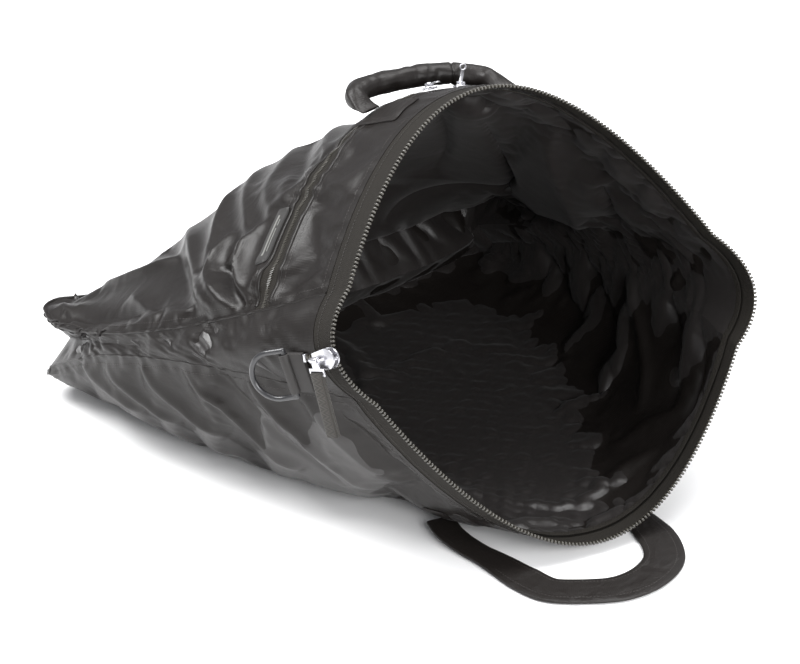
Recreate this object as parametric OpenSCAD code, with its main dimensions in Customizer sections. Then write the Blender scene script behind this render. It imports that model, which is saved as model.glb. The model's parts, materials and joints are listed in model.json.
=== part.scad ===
// Flight helmet bag lying on its back panel with its mouth held open.
// Millimetres. X runs from the closed end to the mouth, Y across, Z up.

/* [Body] */
// Width of the front and back panels
body_width = 500; // [440:5:540]
// Height of the front seam at the closed corners
front_edge_z = 95; // [75:1:115]
// Height of the back seam at the closed corners
back_edge_z = 42; // [30:1:55]
// Radius of the closed corners in plan
corner_radius = 30; // [20:1:50]
// How far the middle of the closed edge is drawn in
edge_pull_in = 22; // [0:1:35]
// How far the bottom gusset folds inward
end_pleat = 38; // [20:1:45]
// How far the side gussets fold inward at the closed corners
side_pleat = 20; // [10:1:24]
// Thickness of the outer cloth with its padding
wall = 2.5; // [2:0.1:4]

/* [Mouth] */
// Width of the open mouth
mouth_width = 414; // [380:2:440]
// Sideways shift of the middle of the mouth
mouth_shift = 33; // [0:1:45]
// Distance of the right end of the zip from the closed end
right_end_x = 422; // [400:1:440]
// Distance of the left end of the zip from the closed end
left_end_x = 458; // [430:1:480]
// Height of the right end of the zip
right_end_z = 215; // [190:1:230]
// Height of the left end of the zip
left_end_z = 179; // [160:1:210]
// Rise of the front lip above the ends of the zip
front_lip_rise = 182; // [150:1:200]
// How far the front lip leans back
front_lip_back = 95; // [40:1:120]
// Drop of the back lip below the ends of the zip
back_lip_drop = 187; // [170:1:190]
// How far the back lip reaches forward
back_lip_forward = 75; // [30:1:100]
// Share of the half mouth from its middle to the gusset seam
seam_share = 0.866; // [0.8:0.01:0.92]

/* [Zips] */
// Width of one side's teeth on the main zip
tooth_reach = 3.2; // [2.5:0.1:5]
// Radius of the main slider's rounded head
slider_head_radius = 9; // [7:0.5:11]
// Length of the hanging ribbon on the main slider
ribbon_length = 55; // [30:1:80]
// Width of the hanging ribbon
ribbon_width = 13; // [10:0.5:16]

/* [Rings and handles] */
// Inner width of the D rings
ring_width = 38; // [30:1:50]
// Radius of the D ring wire
ring_wire_radius = 2.4; // [1.5:0.1:3.5]
// Radius of the padded front handle
grip_radius = 9; // [7:0.5:12]
// Width of the flat back handle
strap_width = 36; // [26:1:40]
// Thickness of the flat back handle
strap_thickness = 3.2; // [2:0.1:5]

/* [Hidden] */
$fn = 48;
half = body_width / 2;
// Centre of the underside of the whole bag, which becomes the origin.
shift = [-297.9, -4.65, 0];
// Stations from the closed end (0) to the teeth (1).
stations = [0, .04, .1, .17, .25, .33, .41, .49, .57, .65, .74, .82, .85, .905, .965, 1];
last = len(stations) - 1;
pocket_top = 11;
band_start = 12;
panel_end = last - 1;
columns = 32;
fold_steps = 6;
mid_fold = fold_steps / 2;

// Moves a piece from the drawing frame to the part's own frame.
module placed() { translate(shift) children(); }
function lerp(a, b, k) = a + (b - a) * k;
function unit(v) = v / max(norm(v), 1e-9);
function curve(a, b, c, t) = pow(1 - t, 2) * a + 2 * t * (1 - t) * b + t * t * c;
function clampi(i, n) = min(max(i, 0), n);

// A point on one lip of the mouth, v running from -1 (right end) to 1 (left end).
function lip(v, front) = let (k = 1 - v * v) [
    lerp(right_end_x, left_end_x, (v + 1) / 2) + k * (front ? -front_lip_back : back_lip_forward),
    mouth_shift + v * mouth_width / 2,
    lerp(right_end_z, left_end_z, (v + 1) / 2) + k * (front ? front_lip_rise : -back_lip_drop)];

// The seams that join each panel to the gusset. side is -1 right, 1 left.
function end_x(side) = side < 0 ? right_end_x : left_end_x;
function end_z(side) = side < 0 ? right_end_z : left_end_z;
function front_seam(side, t) = curve(
    [corner_radius, side * half, front_edge_z],
    [0.33 * end_x(side), side * 1.07 * half, front_edge_z + 7],
    lip(side * seam_share, true), t);
function back_seam(side, t) = curve(
    [corner_radius, side * half, back_edge_z],
    [0.51 * end_x(side), side * 1.045 * half, 0.75 * end_z(side)],
    lip(side * seam_share, false), t);

// Centre lines of the two panels; the back one lies flat on the ground for a stretch.
function front_middle(t) = curve(
    [corner_radius, 0, front_edge_z - 9], [0.12 * right_end_x, 15, 270], lip(0, true), t);
function back_middle(t) = let (p = curve([corner_radius, 0, 0], [260, 15, 0], lip(0, false), t))
    [p.x, p.y, 18 * pow(1 - t, 3) - 4 + (lip(0, false).z + 4) * pow(t, 4)];

// Plan outline of the closed end: rounded corners, drawn in between them.
function closed_edge(y) = let (flat = half - corner_radius, d = abs(y) - flat)
    d > 0 ? corner_radius - sqrt(max(0, pow(corner_radius, 2) - d * d))
          : edge_pull_in * (1 - pow(y / flat, 2));
function trimmed(p, t) = [p.x + (closed_edge(p.y) - corner_radius) * pow(1 - t, 4), p.y, max(0, p.z)];

function front_dense(t, n = 72) = let (
    a = front_seam(-1, t), b = front_seam(1, t),
    rise = front_middle(t) - (a + b) / 2, power = 2.6 - 0.6 * pow(t, 1.5))
    [for (i = [0:n]) let (u = 2 * i / n - 1)
        trimmed(lerp(a, b, i / n) + rise * (1 - pow(abs(u), power)), t)];
function back_dense(t, n = 96) = let (
    a = back_seam(-1, t), b = back_seam(1, t),
    drop = back_middle(t) - (a + b) / 2, w = pow(t, 1.6))
    [for (i = [0:n]) let (u = 2 * i / n - 1,
        v = sign(u) * lerp(pow(sin(90 * abs(u)), 0.444), abs(u), w),
        up = lerp(1 - pow(cos(90 * abs(u)), 0.444), u * u, w))
        trimmed(lerp(a, b, (v + 1) / 2) + drop * (1 - up), t)];

// Points at given shares of a polyline's length.
function lengths(p) = [for (i = 0, s = 0; i < len(p);
    s = s + (i + 1 < len(p) ? norm(p[i + 1] - p[i]) : 0), i = i + 1) s];
function spread(p, shares) = let (c = lengths(p), total = c[len(c) - 1],
    xs = [for (i = [0:len(p) - 1]) [c[i], p[i].x]],
    ys = [for (i = [0:len(p) - 1]) [c[i], p[i].y]],
    zs = [for (i = [0:len(p) - 1]) [c[i], p[i].z]])
    [for (f = shares) [lookup(f * total, xs), lookup(f * total, ys), lookup(f * total, zs)]];
even = [for (i = [0:columns]) i / columns];
front_grid = [for (t = stations) spread(front_dense(t), even)];
back_grid = [for (t = stations) spread(back_dense(t), even)];

// The gusset follows the border of the panels: right side, closed end, left side.
function border(g) = concat(
    [for (j = [last:-1:0]) g[j][0]],
    [for (i = [1:columns]) g[0][i]],
    [for (j = [1:last]) g[j][columns]]);
front_border = border(front_grid);
back_border = border(back_grid);
path_end = len(front_border) - 1;
function path_of(j, i) = i == 0 ? last - j : i == columns ? last + columns + j : last + i;
function path_station(s) = s <= last ? stations[last - s]
    : s >= last + columns ? stations[s - last - columns] : 0;
function pleat(s) = s <= last || s >= last + columns
    ? side_pleat * pow(max(0, 1 - path_station(s) / 0.6), 1.5)
    : lerp(side_pleat, end_pleat, 1 - pow(abs(2 * (s - last) / columns - 1), 6));
function path_middle(s) = (front_border[clampi(s, path_end)] + back_border[clampi(s, path_end)]) / 2;
function inward(s) = let (d = path_middle(s + 1) - path_middle(s - 1)) unit([d.y, -d.x, 0]);
function corner_push(s) = let (side = s < path_end / 2 ? -1 : 1)
    s > last && s < last + columns ? [0, 0, 0]
    : pow(path_station(s), 3) * (lip(side, true)
        - (lip(side * seam_share, true) + lip(side * seam_share, false)) / 2);
gusset_grid = [for (s = [0:path_end]) [for (k = [0:fold_steps]) let (w = k / fold_steps)
    lerp(front_border[s], back_border[s], w)
        + inward(s) * pleat(s) * (1 - abs(2 * w - 1))
        + corner_push(s) * (1 - pow(2 * w - 1, 2))]];

// Outward normals. Panels and gusset share one normal along their common seam.
function grid_normal(g, j, i, turn) = let (rows = len(g) - 1, cols = len(g[0]) - 1)
    turn * unit(cross(
        g[j][clampi(i + 1, cols)] - g[j][clampi(i - 1, cols)],
        g[clampi(j + 1, rows)][i] - g[clampi(j - 1, rows)][i]));
function panel_normal(g, j, i, turn, k) = let (n = grid_normal(g, j, i, turn))
    i == 0 || i == columns || j == 0
    ? unit(n + grid_normal(gusset_grid, path_of(j, i), k, -1)) : n;
front_normals = [for (j = [0:last]) [for (i = [0:columns])
    panel_normal(front_grid, j, i, -1, 0)]];
back_normals = [for (j = [0:last]) [for (i = [0:columns])
    panel_normal(back_grid, j, i, 1, fold_steps)]];
front_border_normals = border(front_normals);
back_border_normals = border(back_normals);
gusset_normals = [for (s = [0:path_end]) [for (k = [0:fold_steps])
    k == 0 ? front_border_normals[s] : k == fold_steps ? back_border_normals[s]
    : grid_normal(gusset_grid, s, k, -1)]];

// A closed solid between two grids of points.
module slab(outer, inner, turned = false) {
    m = len(outer) - 1;
    n = len(outer[0]) - 1;
    count = (m + 1) * (n + 1);
    function a(j, i) = j * (n + 1) + i;
    function b(j, i) = count + a(j, i);
    quads = concat(
        [for (j = [0:m - 1], i = [0:n - 1]) [a(j, i), a(j, i + 1), a(j + 1, i + 1), a(j + 1, i)]],
        [for (j = [0:m - 1], i = [0:n - 1]) [b(j + 1, i), b(j + 1, i + 1), b(j, i + 1), b(j, i)]],
        [for (i = [0:n - 1]) [a(0, i + 1), a(0, i), b(0, i), b(0, i + 1)]],
        [for (i = [0:n - 1]) [a(m, i), a(m, i + 1), b(m, i + 1), b(m, i)]],
        [for (j = [0:m - 1]) [a(j, 0), a(j + 1, 0), b(j + 1, 0), b(j, 0)]],
        [for (j = [0:m - 1]) [a(j + 1, n), a(j, n), b(j, n), b(j + 1, n)]]);
    // Both skins are cut along the same diagonal, so stacked layers never cross.
    faces = [for (q = [0:len(quads) - 1], half_quad = [0, 1])
        let (f = quads[q], skin = q >= m * n && q < 2 * m * n,
            t = skin ? (half_quad == 0 ? [f[0], f[1], f[3]] : [f[1], f[2], f[3]])
                : (half_quad == 0 ? [f[0], f[1], f[2]] : [f[0], f[2], f[3]]))
            turned ? [t[2], t[1], t[0]] : t];
    polyhedron(points = concat([for (r = outer) each r], [for (r = inner) each r]), faces = faces);
}

// One layer of cloth: part of a grid between two depths under its outer surface.
module layer(grid, normals, rows, cols, depth, turned = false) {
    slab([for (j = rows) [for (i = cols) grid[j][i] - depth[0] * normals[j][i]]],
        [for (j = rows) [for (i = cols) grid[j][i] - depth[1] * normals[j][i]]], turned);
}

// A solid swept along a path with an oval or flat section. width, thick and side (the width
// direction) have one entry for each point of the path.
module sweep(path, width, thick, side, points = 12) {
    n = len(path) - 1;
    rings = [for (i = [0:n]) let (
        d = unit(path[clampi(i + 1, n)] - path[clampi(i - 1, n)]),
        s = unit(side[i] - (side[i] * d) * d), u = cross(d, s))
        [for (k = [0:points - 1]) let (a = 360 * (k + 0.5) / points,
            c = points == 4 ? sign(cos(a)) : cos(a), q = points == 4 ? sign(sin(a)) : sin(a))
            path[i] + s * c * width[i] / 2 + u * q * thick[i] / 2]];
    faces = concat(
        [for (i = [0:n - 1], k = [0:points - 1]) let (k2 = (k + 1) % points)
            [i * points + k, (i + 1) * points + k, (i + 1) * points + k2, i * points + k2]],
        [[for (k = [0:points - 1]) k]],
        [[for (k = [points - 1:-1:0]) n * points + k]]);
    polyhedron(points = [for (r = rings) each r], faces = faces);
}

// A smooth run of points through control points.
function spline_point(p, i, t) = let (n = len(p) - 1,
    a = p[clampi(i - 1, n)], b = p[i], c = p[clampi(i + 1, n)], d = p[clampi(i + 2, n)])
    0.5 * (2 * b + (c - a) * t + (2 * a - 5 * b + 4 * c - d) * t * t
        + (3 * b - a - 3 * c + d) * pow(t, 3));
function spline(p, steps) = concat(
    [for (i = [0:len(p) - 2], k = [0:steps - 1]) spline_point(p, i, k / steps)], [p[len(p) - 1]]);

// A local frame: origin, X axis and an approximate Z axis.
module at_frame(o, x_axis, z_near) {
    x = unit(x_axis);
    y = unit(cross(z_near, x));
    z = cross(x, y);
    multmatrix([
        [x.x, y.x, z.x, o.x],
        [x.y, y.y, z.y, o.y],
        [x.z, y.z, z.z, o.z],
        [0, 0, 0, 1]]) children();
}

// Frames at the two ends of the zip, just outside the gusset. X points out of the mouth.
function tail_dir(side) = let (s = side < 0 ? 0 : path_end, step = side < 0 ? 2 : -2)
    unit(gusset_grid[s + step][mid_fold] - gusset_grid[s][mid_fold]);
module at_end(side) {
    s = side < 0 ? 0 : path_end;
    n = gusset_normals[side < 0 ? 1 : path_end - 1][mid_fold];
    at_frame(gusset_grid[s][mid_fold] + 2 * tail_dir(side) + 6.5 * n, -tail_dir(side), n)
        children();
}
module at_slider() { at_end(-1) translate([0, -4, 0]) children(); }
crown = [-4.5, 0, 8.6];
pull_pitch = 13;
pull_hang = 8;
module at_pull() { at_slider() translate(crown) rotate([pull_hang, 0, 0]) children(); }

// Each ring hangs from a webbing loop sewn flat on the gusset beside the zip's end.
ring_half = ring_width / 2;
loop_width = ring_width - 2;
bar_reach = ring_half + ring_wire_radius;
ring_seat = [-50, -19, -4.2];
ring_tilt = 12.7;
ring_rest = 20;
module at_loop(side) {
    at_end(side) translate([ring_seat.x, -side * ring_seat.y, ring_seat.z])
        rotate([-side * ring_tilt, 0, 0]) children();
}

module ring_shape() {
    straight = 14;
    wire = ring_wire_radius;
    for (s = [-1, 1]) translate([0, s * bar_reach, 0])
        rotate([0, 90, 0]) cylinder(r = wire, h = straight);
    translate([straight, 0, 0]) rotate([0, 0, -90])
        rotate_extrude(angle = 180) translate([bar_reach, 0]) circle(r = wire);
    translate([0, -bar_reach, 0]) rotate([-90, 0, 0]) cylinder(r = wire, h = 2 * bar_reach);
    for (s = [-1, 1]) translate([0, s * bar_reach, 0]) sphere(r = wire);
}
module loop_shape(tail) {
    inner = ring_wire_radius + 0.5;
    ply = 1.8;
    rotate([90, 0, 0]) translate([0, 0, -loop_width / 2]) difference() {
        union() {
            cylinder(r = inner + ply, h = loop_width);
            translate([0, -inner - ply, 0]) cube([tail, 2 * ply, loop_width]);
        }
        translate([0, 0, -1]) cylinder(r = inner, h = loop_width + 2);
    }
}

// The sliders of the pocket zip travel on a circle fitted to the zip's crest.
crest = spread([for (i = [0:columns])
    (front_grid[pocket_top][i] + front_grid[band_start][i]) / 2], [0.42, 0.51, 0.6]);
function circle_centre(a, b, c) = let (u = b - a, v = c - a, w = cross(u, v))
    a + (cross(w, u) * (v * v) + cross(v, w) * (u * u)) / (2 * (w * w));
arc_centre = circle_centre(crest[0], crest[1], crest[2]);
arc_radius = norm(crest[1] - arc_centre);
arc_axis = unit(cross(crest[0] - arc_centre, crest[2] - arc_centre));
// A slider sits at an angle along the circle, measured from the crest's middle point.
function arc_dir(angle) = let (x = unit(crest[1] - arc_centre), y = cross(arc_axis, x))
    x * cos(angle) + y * sin(angle);
module at_pocket_slider(angle) {
    r = arc_dir(angle);
    at_frame(arc_centre + (arc_radius + 3.4) * r, cross(arc_axis, r), r) children();
}

pull_bar_z = 3.6;
module pocket_slider_shape() {
    difference() {
        translate([-6, -4, -1.2]) cube([12, 8, 2.2]);
        translate([-7, -2.6, -2]) cube([14, 5.2, 1.6]);
    }
    for (x = [-4, 2.8]) translate([x, -0.9, 1]) cube([1.2, 1.8, pull_bar_z - 0.2]);
    translate([-4, 0, pull_bar_z]) rotate([0, 90, 0]) cylinder(r = 0.7, h = 8);
}
// The pull turns about the slider's bar; swing is its angle up from lying flat.
module pocket_pull_shape(swing) {
    translate([0, 0, pull_bar_z]) rotate([-swing, 0, 0]) difference() {
        union() {
            translate([-2, 0, 0]) rotate([0, 90, 0]) cylinder(r = 1.7, h = 4);
            translate([-1.6, -14, -0.5]) cube([3.2, 13, 1]);
            translate([0, -14, -0.5]) cylinder(r = 3.4, h = 1);
        }
        translate([-3, 0, 0]) rotate([0, 90, 0]) cylinder(r = 1, h = 6);
        translate([0, -14, -1]) cylinder(r = 1.9, h = 2);
    }
}
pocket_angle_right = -3.5;
pocket_angle_left = 7;

// ---- cloth body ----
module front_panel() {
    color("#262322") placed() layer(front_grid, front_normals, [0:panel_end], [0:columns], [1.3, wall]);
}
module pocket_panel() {
    color("#2c2927") placed() layer(front_grid, front_normals, [0:pocket_top], [0:columns], [0, 1.2]);
}
module front_band() {
    color("#2c2927") placed()
        layer(front_grid, front_normals, [band_start:panel_end], [0:columns], [0, 1.2]);
}
module pocket_tape() {
    color("#3a342c") placed()
        layer(front_grid, front_normals, [pocket_top, band_start], [0:columns], [0.3, 1.2]);
}
module pocket_coil() {
    rows = [for (f = [0.36, 0.64]) [for (i = [0:columns]) lerp(
        front_grid[pocket_top][i], front_grid[band_start][i], f)]];
    lift = [for (i = [0:columns]) front_normals[pocket_top][i]];
    color("#1d1b1a") placed() slab(
        [for (r = rows) [for (i = [1:columns - 1]) r[i] + 1.2 * lift[i]]],
        [for (r = rows) [for (i = [1:columns - 1]) r[i] - 0.2 * lift[i]]]);
}
module back_panel() {
    color("#262322") placed()
        layer(back_grid, back_normals, [0:panel_end], [0:columns], [0, wall], true);
}
module right_gusset() {
    color("#282523") placed() layer(gusset_grid, gusset_normals, [1:last], [0:fold_steps], [0, wall]);
}
module bottom_gusset() {
    color("#282523") placed()
        layer(gusset_grid, gusset_normals, [last:last + columns], [0:fold_steps], [0, wall]);
}
module left_gusset() {
    color("#282523") placed()
        layer(gusset_grid, gusset_normals, [last + columns:path_end - 1], [0:fold_steps], [0, wall]);
}

// ---- lining ----
lining = [wall + 0.4, wall + 1.2];
module front_lining() {
    color("#1a1818") placed() layer(front_grid, front_normals, [0:panel_end], [0:columns], lining);
}
module back_lining() {
    color("#1a1818") placed() layer(back_grid, back_normals, [0:panel_end], [0:columns], lining, true);
}
module right_gusset_lining() {
    color("#1a1818") placed() layer(gusset_grid, gusset_normals, [1:last], [0:fold_steps], lining);
}
module bottom_gusset_lining() {
    color("#1a1818") placed()
        layer(gusset_grid, gusset_normals, [last:last + columns], [0:fold_steps], lining);
}
module left_gusset_lining() {
    color("#1a1818") placed()
        layer(gusset_grid, gusset_normals, [last + columns:path_end - 1], [0:fold_steps], lining);
}

// ---- main zip ----
// Points round one half of the mouth, from the right end of the zip to the left.
function mouth_row(g, gusset_a, gusset_b, j, near) = concat(
    [for (k = near ? [mid_fold:-1:1] : [mid_fold:fold_steps - 1]) gusset_a[k]],
    g[j],
    [for (k = near ? [1:mid_fold] : [fold_steps - 1:-1:mid_fold]) gusset_b[k]]);
front_rim = [for (s = [1, 0])
    mouth_row(front_grid, gusset_grid[s], gusset_grid[path_end - s], last - s, true)];
back_rim = [for (s = [1, 0])
    mouth_row(back_grid, gusset_grid[s], gusset_grid[path_end - s], last - s, false)];
front_rim_normals = [for (s = [1, 0])
    mouth_row(front_normals, gusset_normals[s], gusset_normals[path_end - s], last - s, true)];
back_rim_normals = [for (s = [1, 0])
    mouth_row(back_normals, gusset_normals[s], gusset_normals[path_end - s], last - s, false)];
rim_end = len(front_rim[0]) - 1;
module teeth(rim, normals, turned) {
    cols = [for (i = [1:rim_end - 1]) i];
    out = [for (i = cols) unit(rim[1][i] - rim[0][i])];
    span = [0.2, tooth_reach];
    slab(
        [for (q = span) [for (i = [0:len(cols) - 1])
            rim[1][cols[i]] + q * out[i] + 0.6 * normals[1][cols[i]]]],
        [for (q = span) [for (i = [0:len(cols) - 1])
            rim[1][cols[i]] + q * out[i] - 2.8 * normals[1][cols[i]]]], turned);
}
module front_tape() {
    color("#3a342c") placed() layer(front_rim, front_rim_normals, [0, 1], [0:rim_end], [0.5, 1.7]);
}
module back_tape() {
    color("#3a342c") placed() layer(back_rim, back_rim_normals, [0, 1], [0:rim_end], [0.5, 1.7], true);
}
module front_teeth() { color("#1d1b1a") placed() teeth(front_rim, front_rim_normals, false); }
module back_teeth() { color("#1d1b1a") placed() teeth(back_rim, back_rim_normals, true); }

// The closed run of zip past the right end, on the outside of the gusset.
tail_end = -22;
module tail_teeth() {
    color("#1d1b1a") placed() at_slider() translate([tail_end, -2.6, -1.5])
        cube([-2 - tail_end, 5.2, 3]);
}
module end_stop_shape() { translate([-2.6, -3.4, -2]) cube([2.5, 6.8, 4]); }
module right_end_stop() {
    color("#8d8d8d") placed() at_slider() translate([tail_end, 0, 0]) end_stop_shape();
}
module left_end_stop() {
    color("#8d8d8d") placed() at_end(1) translate([-4, 0, -4]) end_stop_shape();
}

module slider_plate(thick) {
    linear_extrude(thick) hull() {
        translate([4, 0]) circle(r = slider_head_radius);
        translate([-12, -4.6]) square([2, 9.2]);
    }
}
module main_slider() {
    color("#b9b9bb") placed() at_slider() {
        translate([0, 0, 2.1]) slider_plate(1.6);
        translate([0, 0, -3.7]) slider_plate(1.6);
        for (s = [-1, 1]) translate([-12, s * 3.8 - 0.7, -2.2]) cube([13, 1.4, 4.4]);
        translate([9.5, -1.2, -2.2]) cube([2.6, 2.4, 4.4]);
        for (x = [-6.5, 4.1]) translate([crown.x + x, -1.1, 3.6])
            cube([2.4, 2.2, crown.z - 3.6]);
        translate([crown.x - 6.5, 0, crown.z]) rotate([0, 90, 0]) cylinder(r = 1.1, h = 13);
    }
}
module main_pull() {
    color("#c4c4c6") placed() at_pull() difference() {
        union() {
            translate([-3.6, 0, 0]) rotate([0, 90, 0]) cylinder(r = 2.6, h = 7.2);
            translate([-3.6, -8, -0.8]) cube([7.2, 8, 1.6]);
            translate([-8.2, -pull_pitch - 1.1, -0.8]) cube([16.4, 7, 1.6]);
            translate([-7, -pull_pitch, 0]) rotate([0, 90, 0]) cylinder(r = 1.1, h = 14);
        }
        translate([-5, 0, 0]) rotate([0, 90, 0]) cylinder(r = 1.5, h = 10);
        translate([-7, -pull_pitch - 3, -2]) cube([14, 1.9, 4]);
        translate([-7, -pull_pitch + 1.1, -2]) cube([14, 2.6, 4]);
    }
}
module pull_ribbon() {
    color("#3a342c") placed() at_pull() translate([0, -pull_pitch, 0]) {
        difference() {
            translate([-ribbon_width / 2, 0, 0]) rotate([0, 90, 0])
                cylinder(r = 2.4, h = ribbon_width);
            translate([-ribbon_width, 0, 0]) rotate([0, 90, 0])
                cylinder(r = 1.5, h = 2 * ribbon_width);
        }
        translate([-ribbon_width / 2, -ribbon_length, -0.9])
            cube([ribbon_width, ribbon_length - 2, 1.8]);
    }
}

// ---- D rings ----
module right_ring_loop() { color("#2b2826") placed() at_loop(-1) loop_shape(20); }
module left_ring_loop() { color("#2b2826") placed() at_loop(1) loop_shape(20); }
module right_d_ring() {
    color("#191919") placed() at_loop(-1) rotate([0, 180 + ring_rest, 0]) ring_shape();
}
module left_d_ring() {
    color("#191919") placed() at_loop(1) rotate([0, 180 + ring_rest, 0]) ring_shape();
}

// ---- handles ----
// The padded front handle: its ends are sewn flat on the patches, and it leans back.
grip_run = [[260, -36, 340.3], [248, -39, 342.5], [236, -37, 345], [228, -24, 346], [223, 0, 344.5],
    [222, 28, 342.5], [224, 56, 340.5], [231, 77, 338], [243, 91, 336.2], [257, 98, 334.3],
    [269, 100.5, 332.75]];
module front_handle() {
    path = spline(grip_run, 3);
    n = len(path) - 1;
    fat = [for (i = [0:n]) min(1, min(i, n - i) / 4)];
    color("#2a2725") placed() sweep(path, [for (f = fat) lerp(22, 2 * grip_radius, f)],
        [for (f = fat) lerp(2.6, 2 * grip_radius, f)],
        [for (i = [0:n])
            cross([0, 0, 1], path[clampi(i + 1, n)] - path[clampi(i - 1, n)])]);
}

// A patch of cloth lying on a panel between two shares of its width and two stations.
module patch(front, shares, span, depth, rows = 4, cols = 4) {
    g = [for (j = [0:rows]) let (t = lerp(span[0], span[1], j / rows))
        spread(front ? front_dense(t) : back_dense(t),
            [for (i = [0:cols]) lerp(shares[0], shares[1], i / cols)])];
    turn = front ? -1 : 1;
    n = [for (j = [0:rows]) [for (i = [0:cols]) grid_normal(g, j, i, turn)]];
    layer(g, n, [0:rows], [0:cols], depth, !front);
}
module front_patch_right() {
    color("#2f2b29") placed() patch(true, [0.345, 0.405], [0.8, 0.92], [-2.6, -1.4]);
}
module front_patch_left() {
    color("#2f2b29") placed() patch(true, [0.595, 0.655], [0.8, 0.92], [-2.6, -1.4]);
}
module label() {
    color("#232323") placed() patch(true, [0.08, 0.18], [0.79, 0.815], [-2.1, -0.5], 2, 6);
}
strap_run = [[412, -60, 10.5], [432, -62, 7.2], [456, -58, 4], [486, -50, 2.4], [520, -44, 2.1],
    [547, -35, 2.1], [566, -8, 2.1], [577, 20, 2.1], [574, 50, 2.1], [559, 76, 2.1],
    [532, 91, 2.1], [498, 97, 1.9], [462, 98, 1.8]];
module back_handle() {
    path = spline(strap_run, 3);
    n = len(path) - 1;
    wide = [for (p = path) min(strap_width, 26 + max(0, p[0] - 470) / 5)];
    color("#2b2826") placed() sweep(path, wide, [for (p = path) strap_thickness], [for (i = [0:n])
            cross([0, 0, 1], path[clampi(i + 1, n)] - path[clampi(i - 1, n)])], 4);
}
module back_patch_right() {
    color("#2f2b29") placed() patch(false, [0.33, 0.39], [0.74, 0.86], [-2, -0.5]);
}
module back_patch_left() {
    color("#2f2b29") placed() patch(false, [0.62, 0.68], [0.84, 0.94], [-2, -0.5]);
}

module pocket_slider_right() {
    color("#b9b9bb") placed() at_pocket_slider(pocket_angle_right) pocket_slider_shape();
}
module pocket_slider_left() {
    color("#b9b9bb") placed() at_pocket_slider(pocket_angle_left) pocket_slider_shape();
}
module pocket_pull_right() {
    color("#c4c4c6") placed() at_pocket_slider(pocket_angle_right) pocket_pull_shape(0);
}
module pocket_pull_left() {
    color("#c4c4c6") placed() at_pocket_slider(pocket_angle_left) pocket_pull_shape(70);
}

front_panel();
pocket_panel();
front_band();
pocket_tape();
pocket_coil();
back_panel();
right_gusset();
bottom_gusset();
left_gusset();
front_lining();
back_lining();
right_gusset_lining();
bottom_gusset_lining();
left_gusset_lining();
front_tape();
back_tape();
front_teeth();
back_teeth();
tail_teeth();
right_end_stop();
left_end_stop();
main_slider();
main_pull();
pull_ribbon();
right_ring_loop();
right_d_ring();
left_ring_loop();
left_d_ring();
front_handle();
front_patch_right();
front_patch_left();
label();
back_handle();
back_patch_right();
back_patch_left();
pocket_slider_right();
pocket_slider_left();
pocket_pull_right();
pocket_pull_left();
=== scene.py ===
"""A soft flight helmet bag that lies on its back panel with its zip open.

The cloth is worked out as surfaces of two parameters, creased by listed folds and a cloth
simulation, and then cut into its layers. Zips, rings, handles and stitching are built on it.
"""

import json
import logging
import math
from dataclasses import dataclass, field
from enum import Enum

import bpy
import numpy as np
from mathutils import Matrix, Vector


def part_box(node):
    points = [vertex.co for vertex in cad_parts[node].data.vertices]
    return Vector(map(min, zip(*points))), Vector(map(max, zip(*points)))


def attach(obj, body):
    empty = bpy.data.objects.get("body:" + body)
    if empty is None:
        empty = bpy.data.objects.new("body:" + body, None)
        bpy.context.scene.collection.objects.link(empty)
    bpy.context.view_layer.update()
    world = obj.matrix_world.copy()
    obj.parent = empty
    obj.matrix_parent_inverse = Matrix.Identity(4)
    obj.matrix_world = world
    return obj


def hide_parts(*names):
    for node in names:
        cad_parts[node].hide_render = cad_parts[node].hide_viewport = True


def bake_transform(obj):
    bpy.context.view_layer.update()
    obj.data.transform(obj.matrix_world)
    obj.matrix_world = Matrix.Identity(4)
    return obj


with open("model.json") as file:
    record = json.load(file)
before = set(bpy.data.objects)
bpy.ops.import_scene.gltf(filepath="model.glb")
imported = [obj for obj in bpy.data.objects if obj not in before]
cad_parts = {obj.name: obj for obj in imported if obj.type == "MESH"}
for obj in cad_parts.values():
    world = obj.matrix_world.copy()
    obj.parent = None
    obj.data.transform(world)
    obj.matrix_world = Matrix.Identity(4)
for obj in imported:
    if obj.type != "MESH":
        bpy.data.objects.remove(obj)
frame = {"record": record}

LOG = logging.getLogger("helmet_bag")


# ---- small tools on arrays ----
def unit(v: np.ndarray) -> np.ndarray:
    """Vectors along the last axis, at length one."""
    return v / np.maximum(np.linalg.norm(v, axis=-1, keepdims=True), 1e-12)


def smooth_step(x: np.ndarray) -> np.ndarray:
    """Rises from 0 to 1 as 3x^2 - 2x^3 between x = 0 and x = 1."""
    x = np.clip(x, 0, 1)
    return x * x * (3 - 2 * x)


def resample(lines: np.ndarray, shares: np.ndarray) -> np.ndarray:
    """Points at given shares of the length of each line.

    Args:
        lines: Lines of points, (rows, points, 3).
        shares: Shares of the length, (columns,).

    Returns:
        Points, (rows, columns, 3), by linear interpolation of the running length.
    """
    steps = np.linalg.norm(np.diff(lines, axis=1), axis=2)
    run = np.concatenate([np.zeros((len(lines), 1)), np.cumsum(steps, axis=1)], axis=1)
    run /= np.maximum(run[:, -1:], 1e-12)
    place = (run[:, None, :] <= shares[None, :, None]).sum(axis=2) - 1
    place = np.clip(place, 0, lines.shape[1] - 2)
    low = np.take_along_axis(run, place, 1)
    high = np.take_along_axis(run, place + 1, 1)
    w = ((shares[None] - low) / np.maximum(high - low, 1e-12))[..., None]
    row = np.arange(len(lines))[:, None]
    return lines[row, place] * (1 - w) + lines[row, place + 1] * w


def grid_normals(grid: np.ndarray, turn: float) -> np.ndarray:
    """Unit normals of a grid: the cross product of its two differences, times turn."""
    return unit(turn * np.cross(np.gradient(grid, axis=1), np.gradient(grid, axis=0)))


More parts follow.
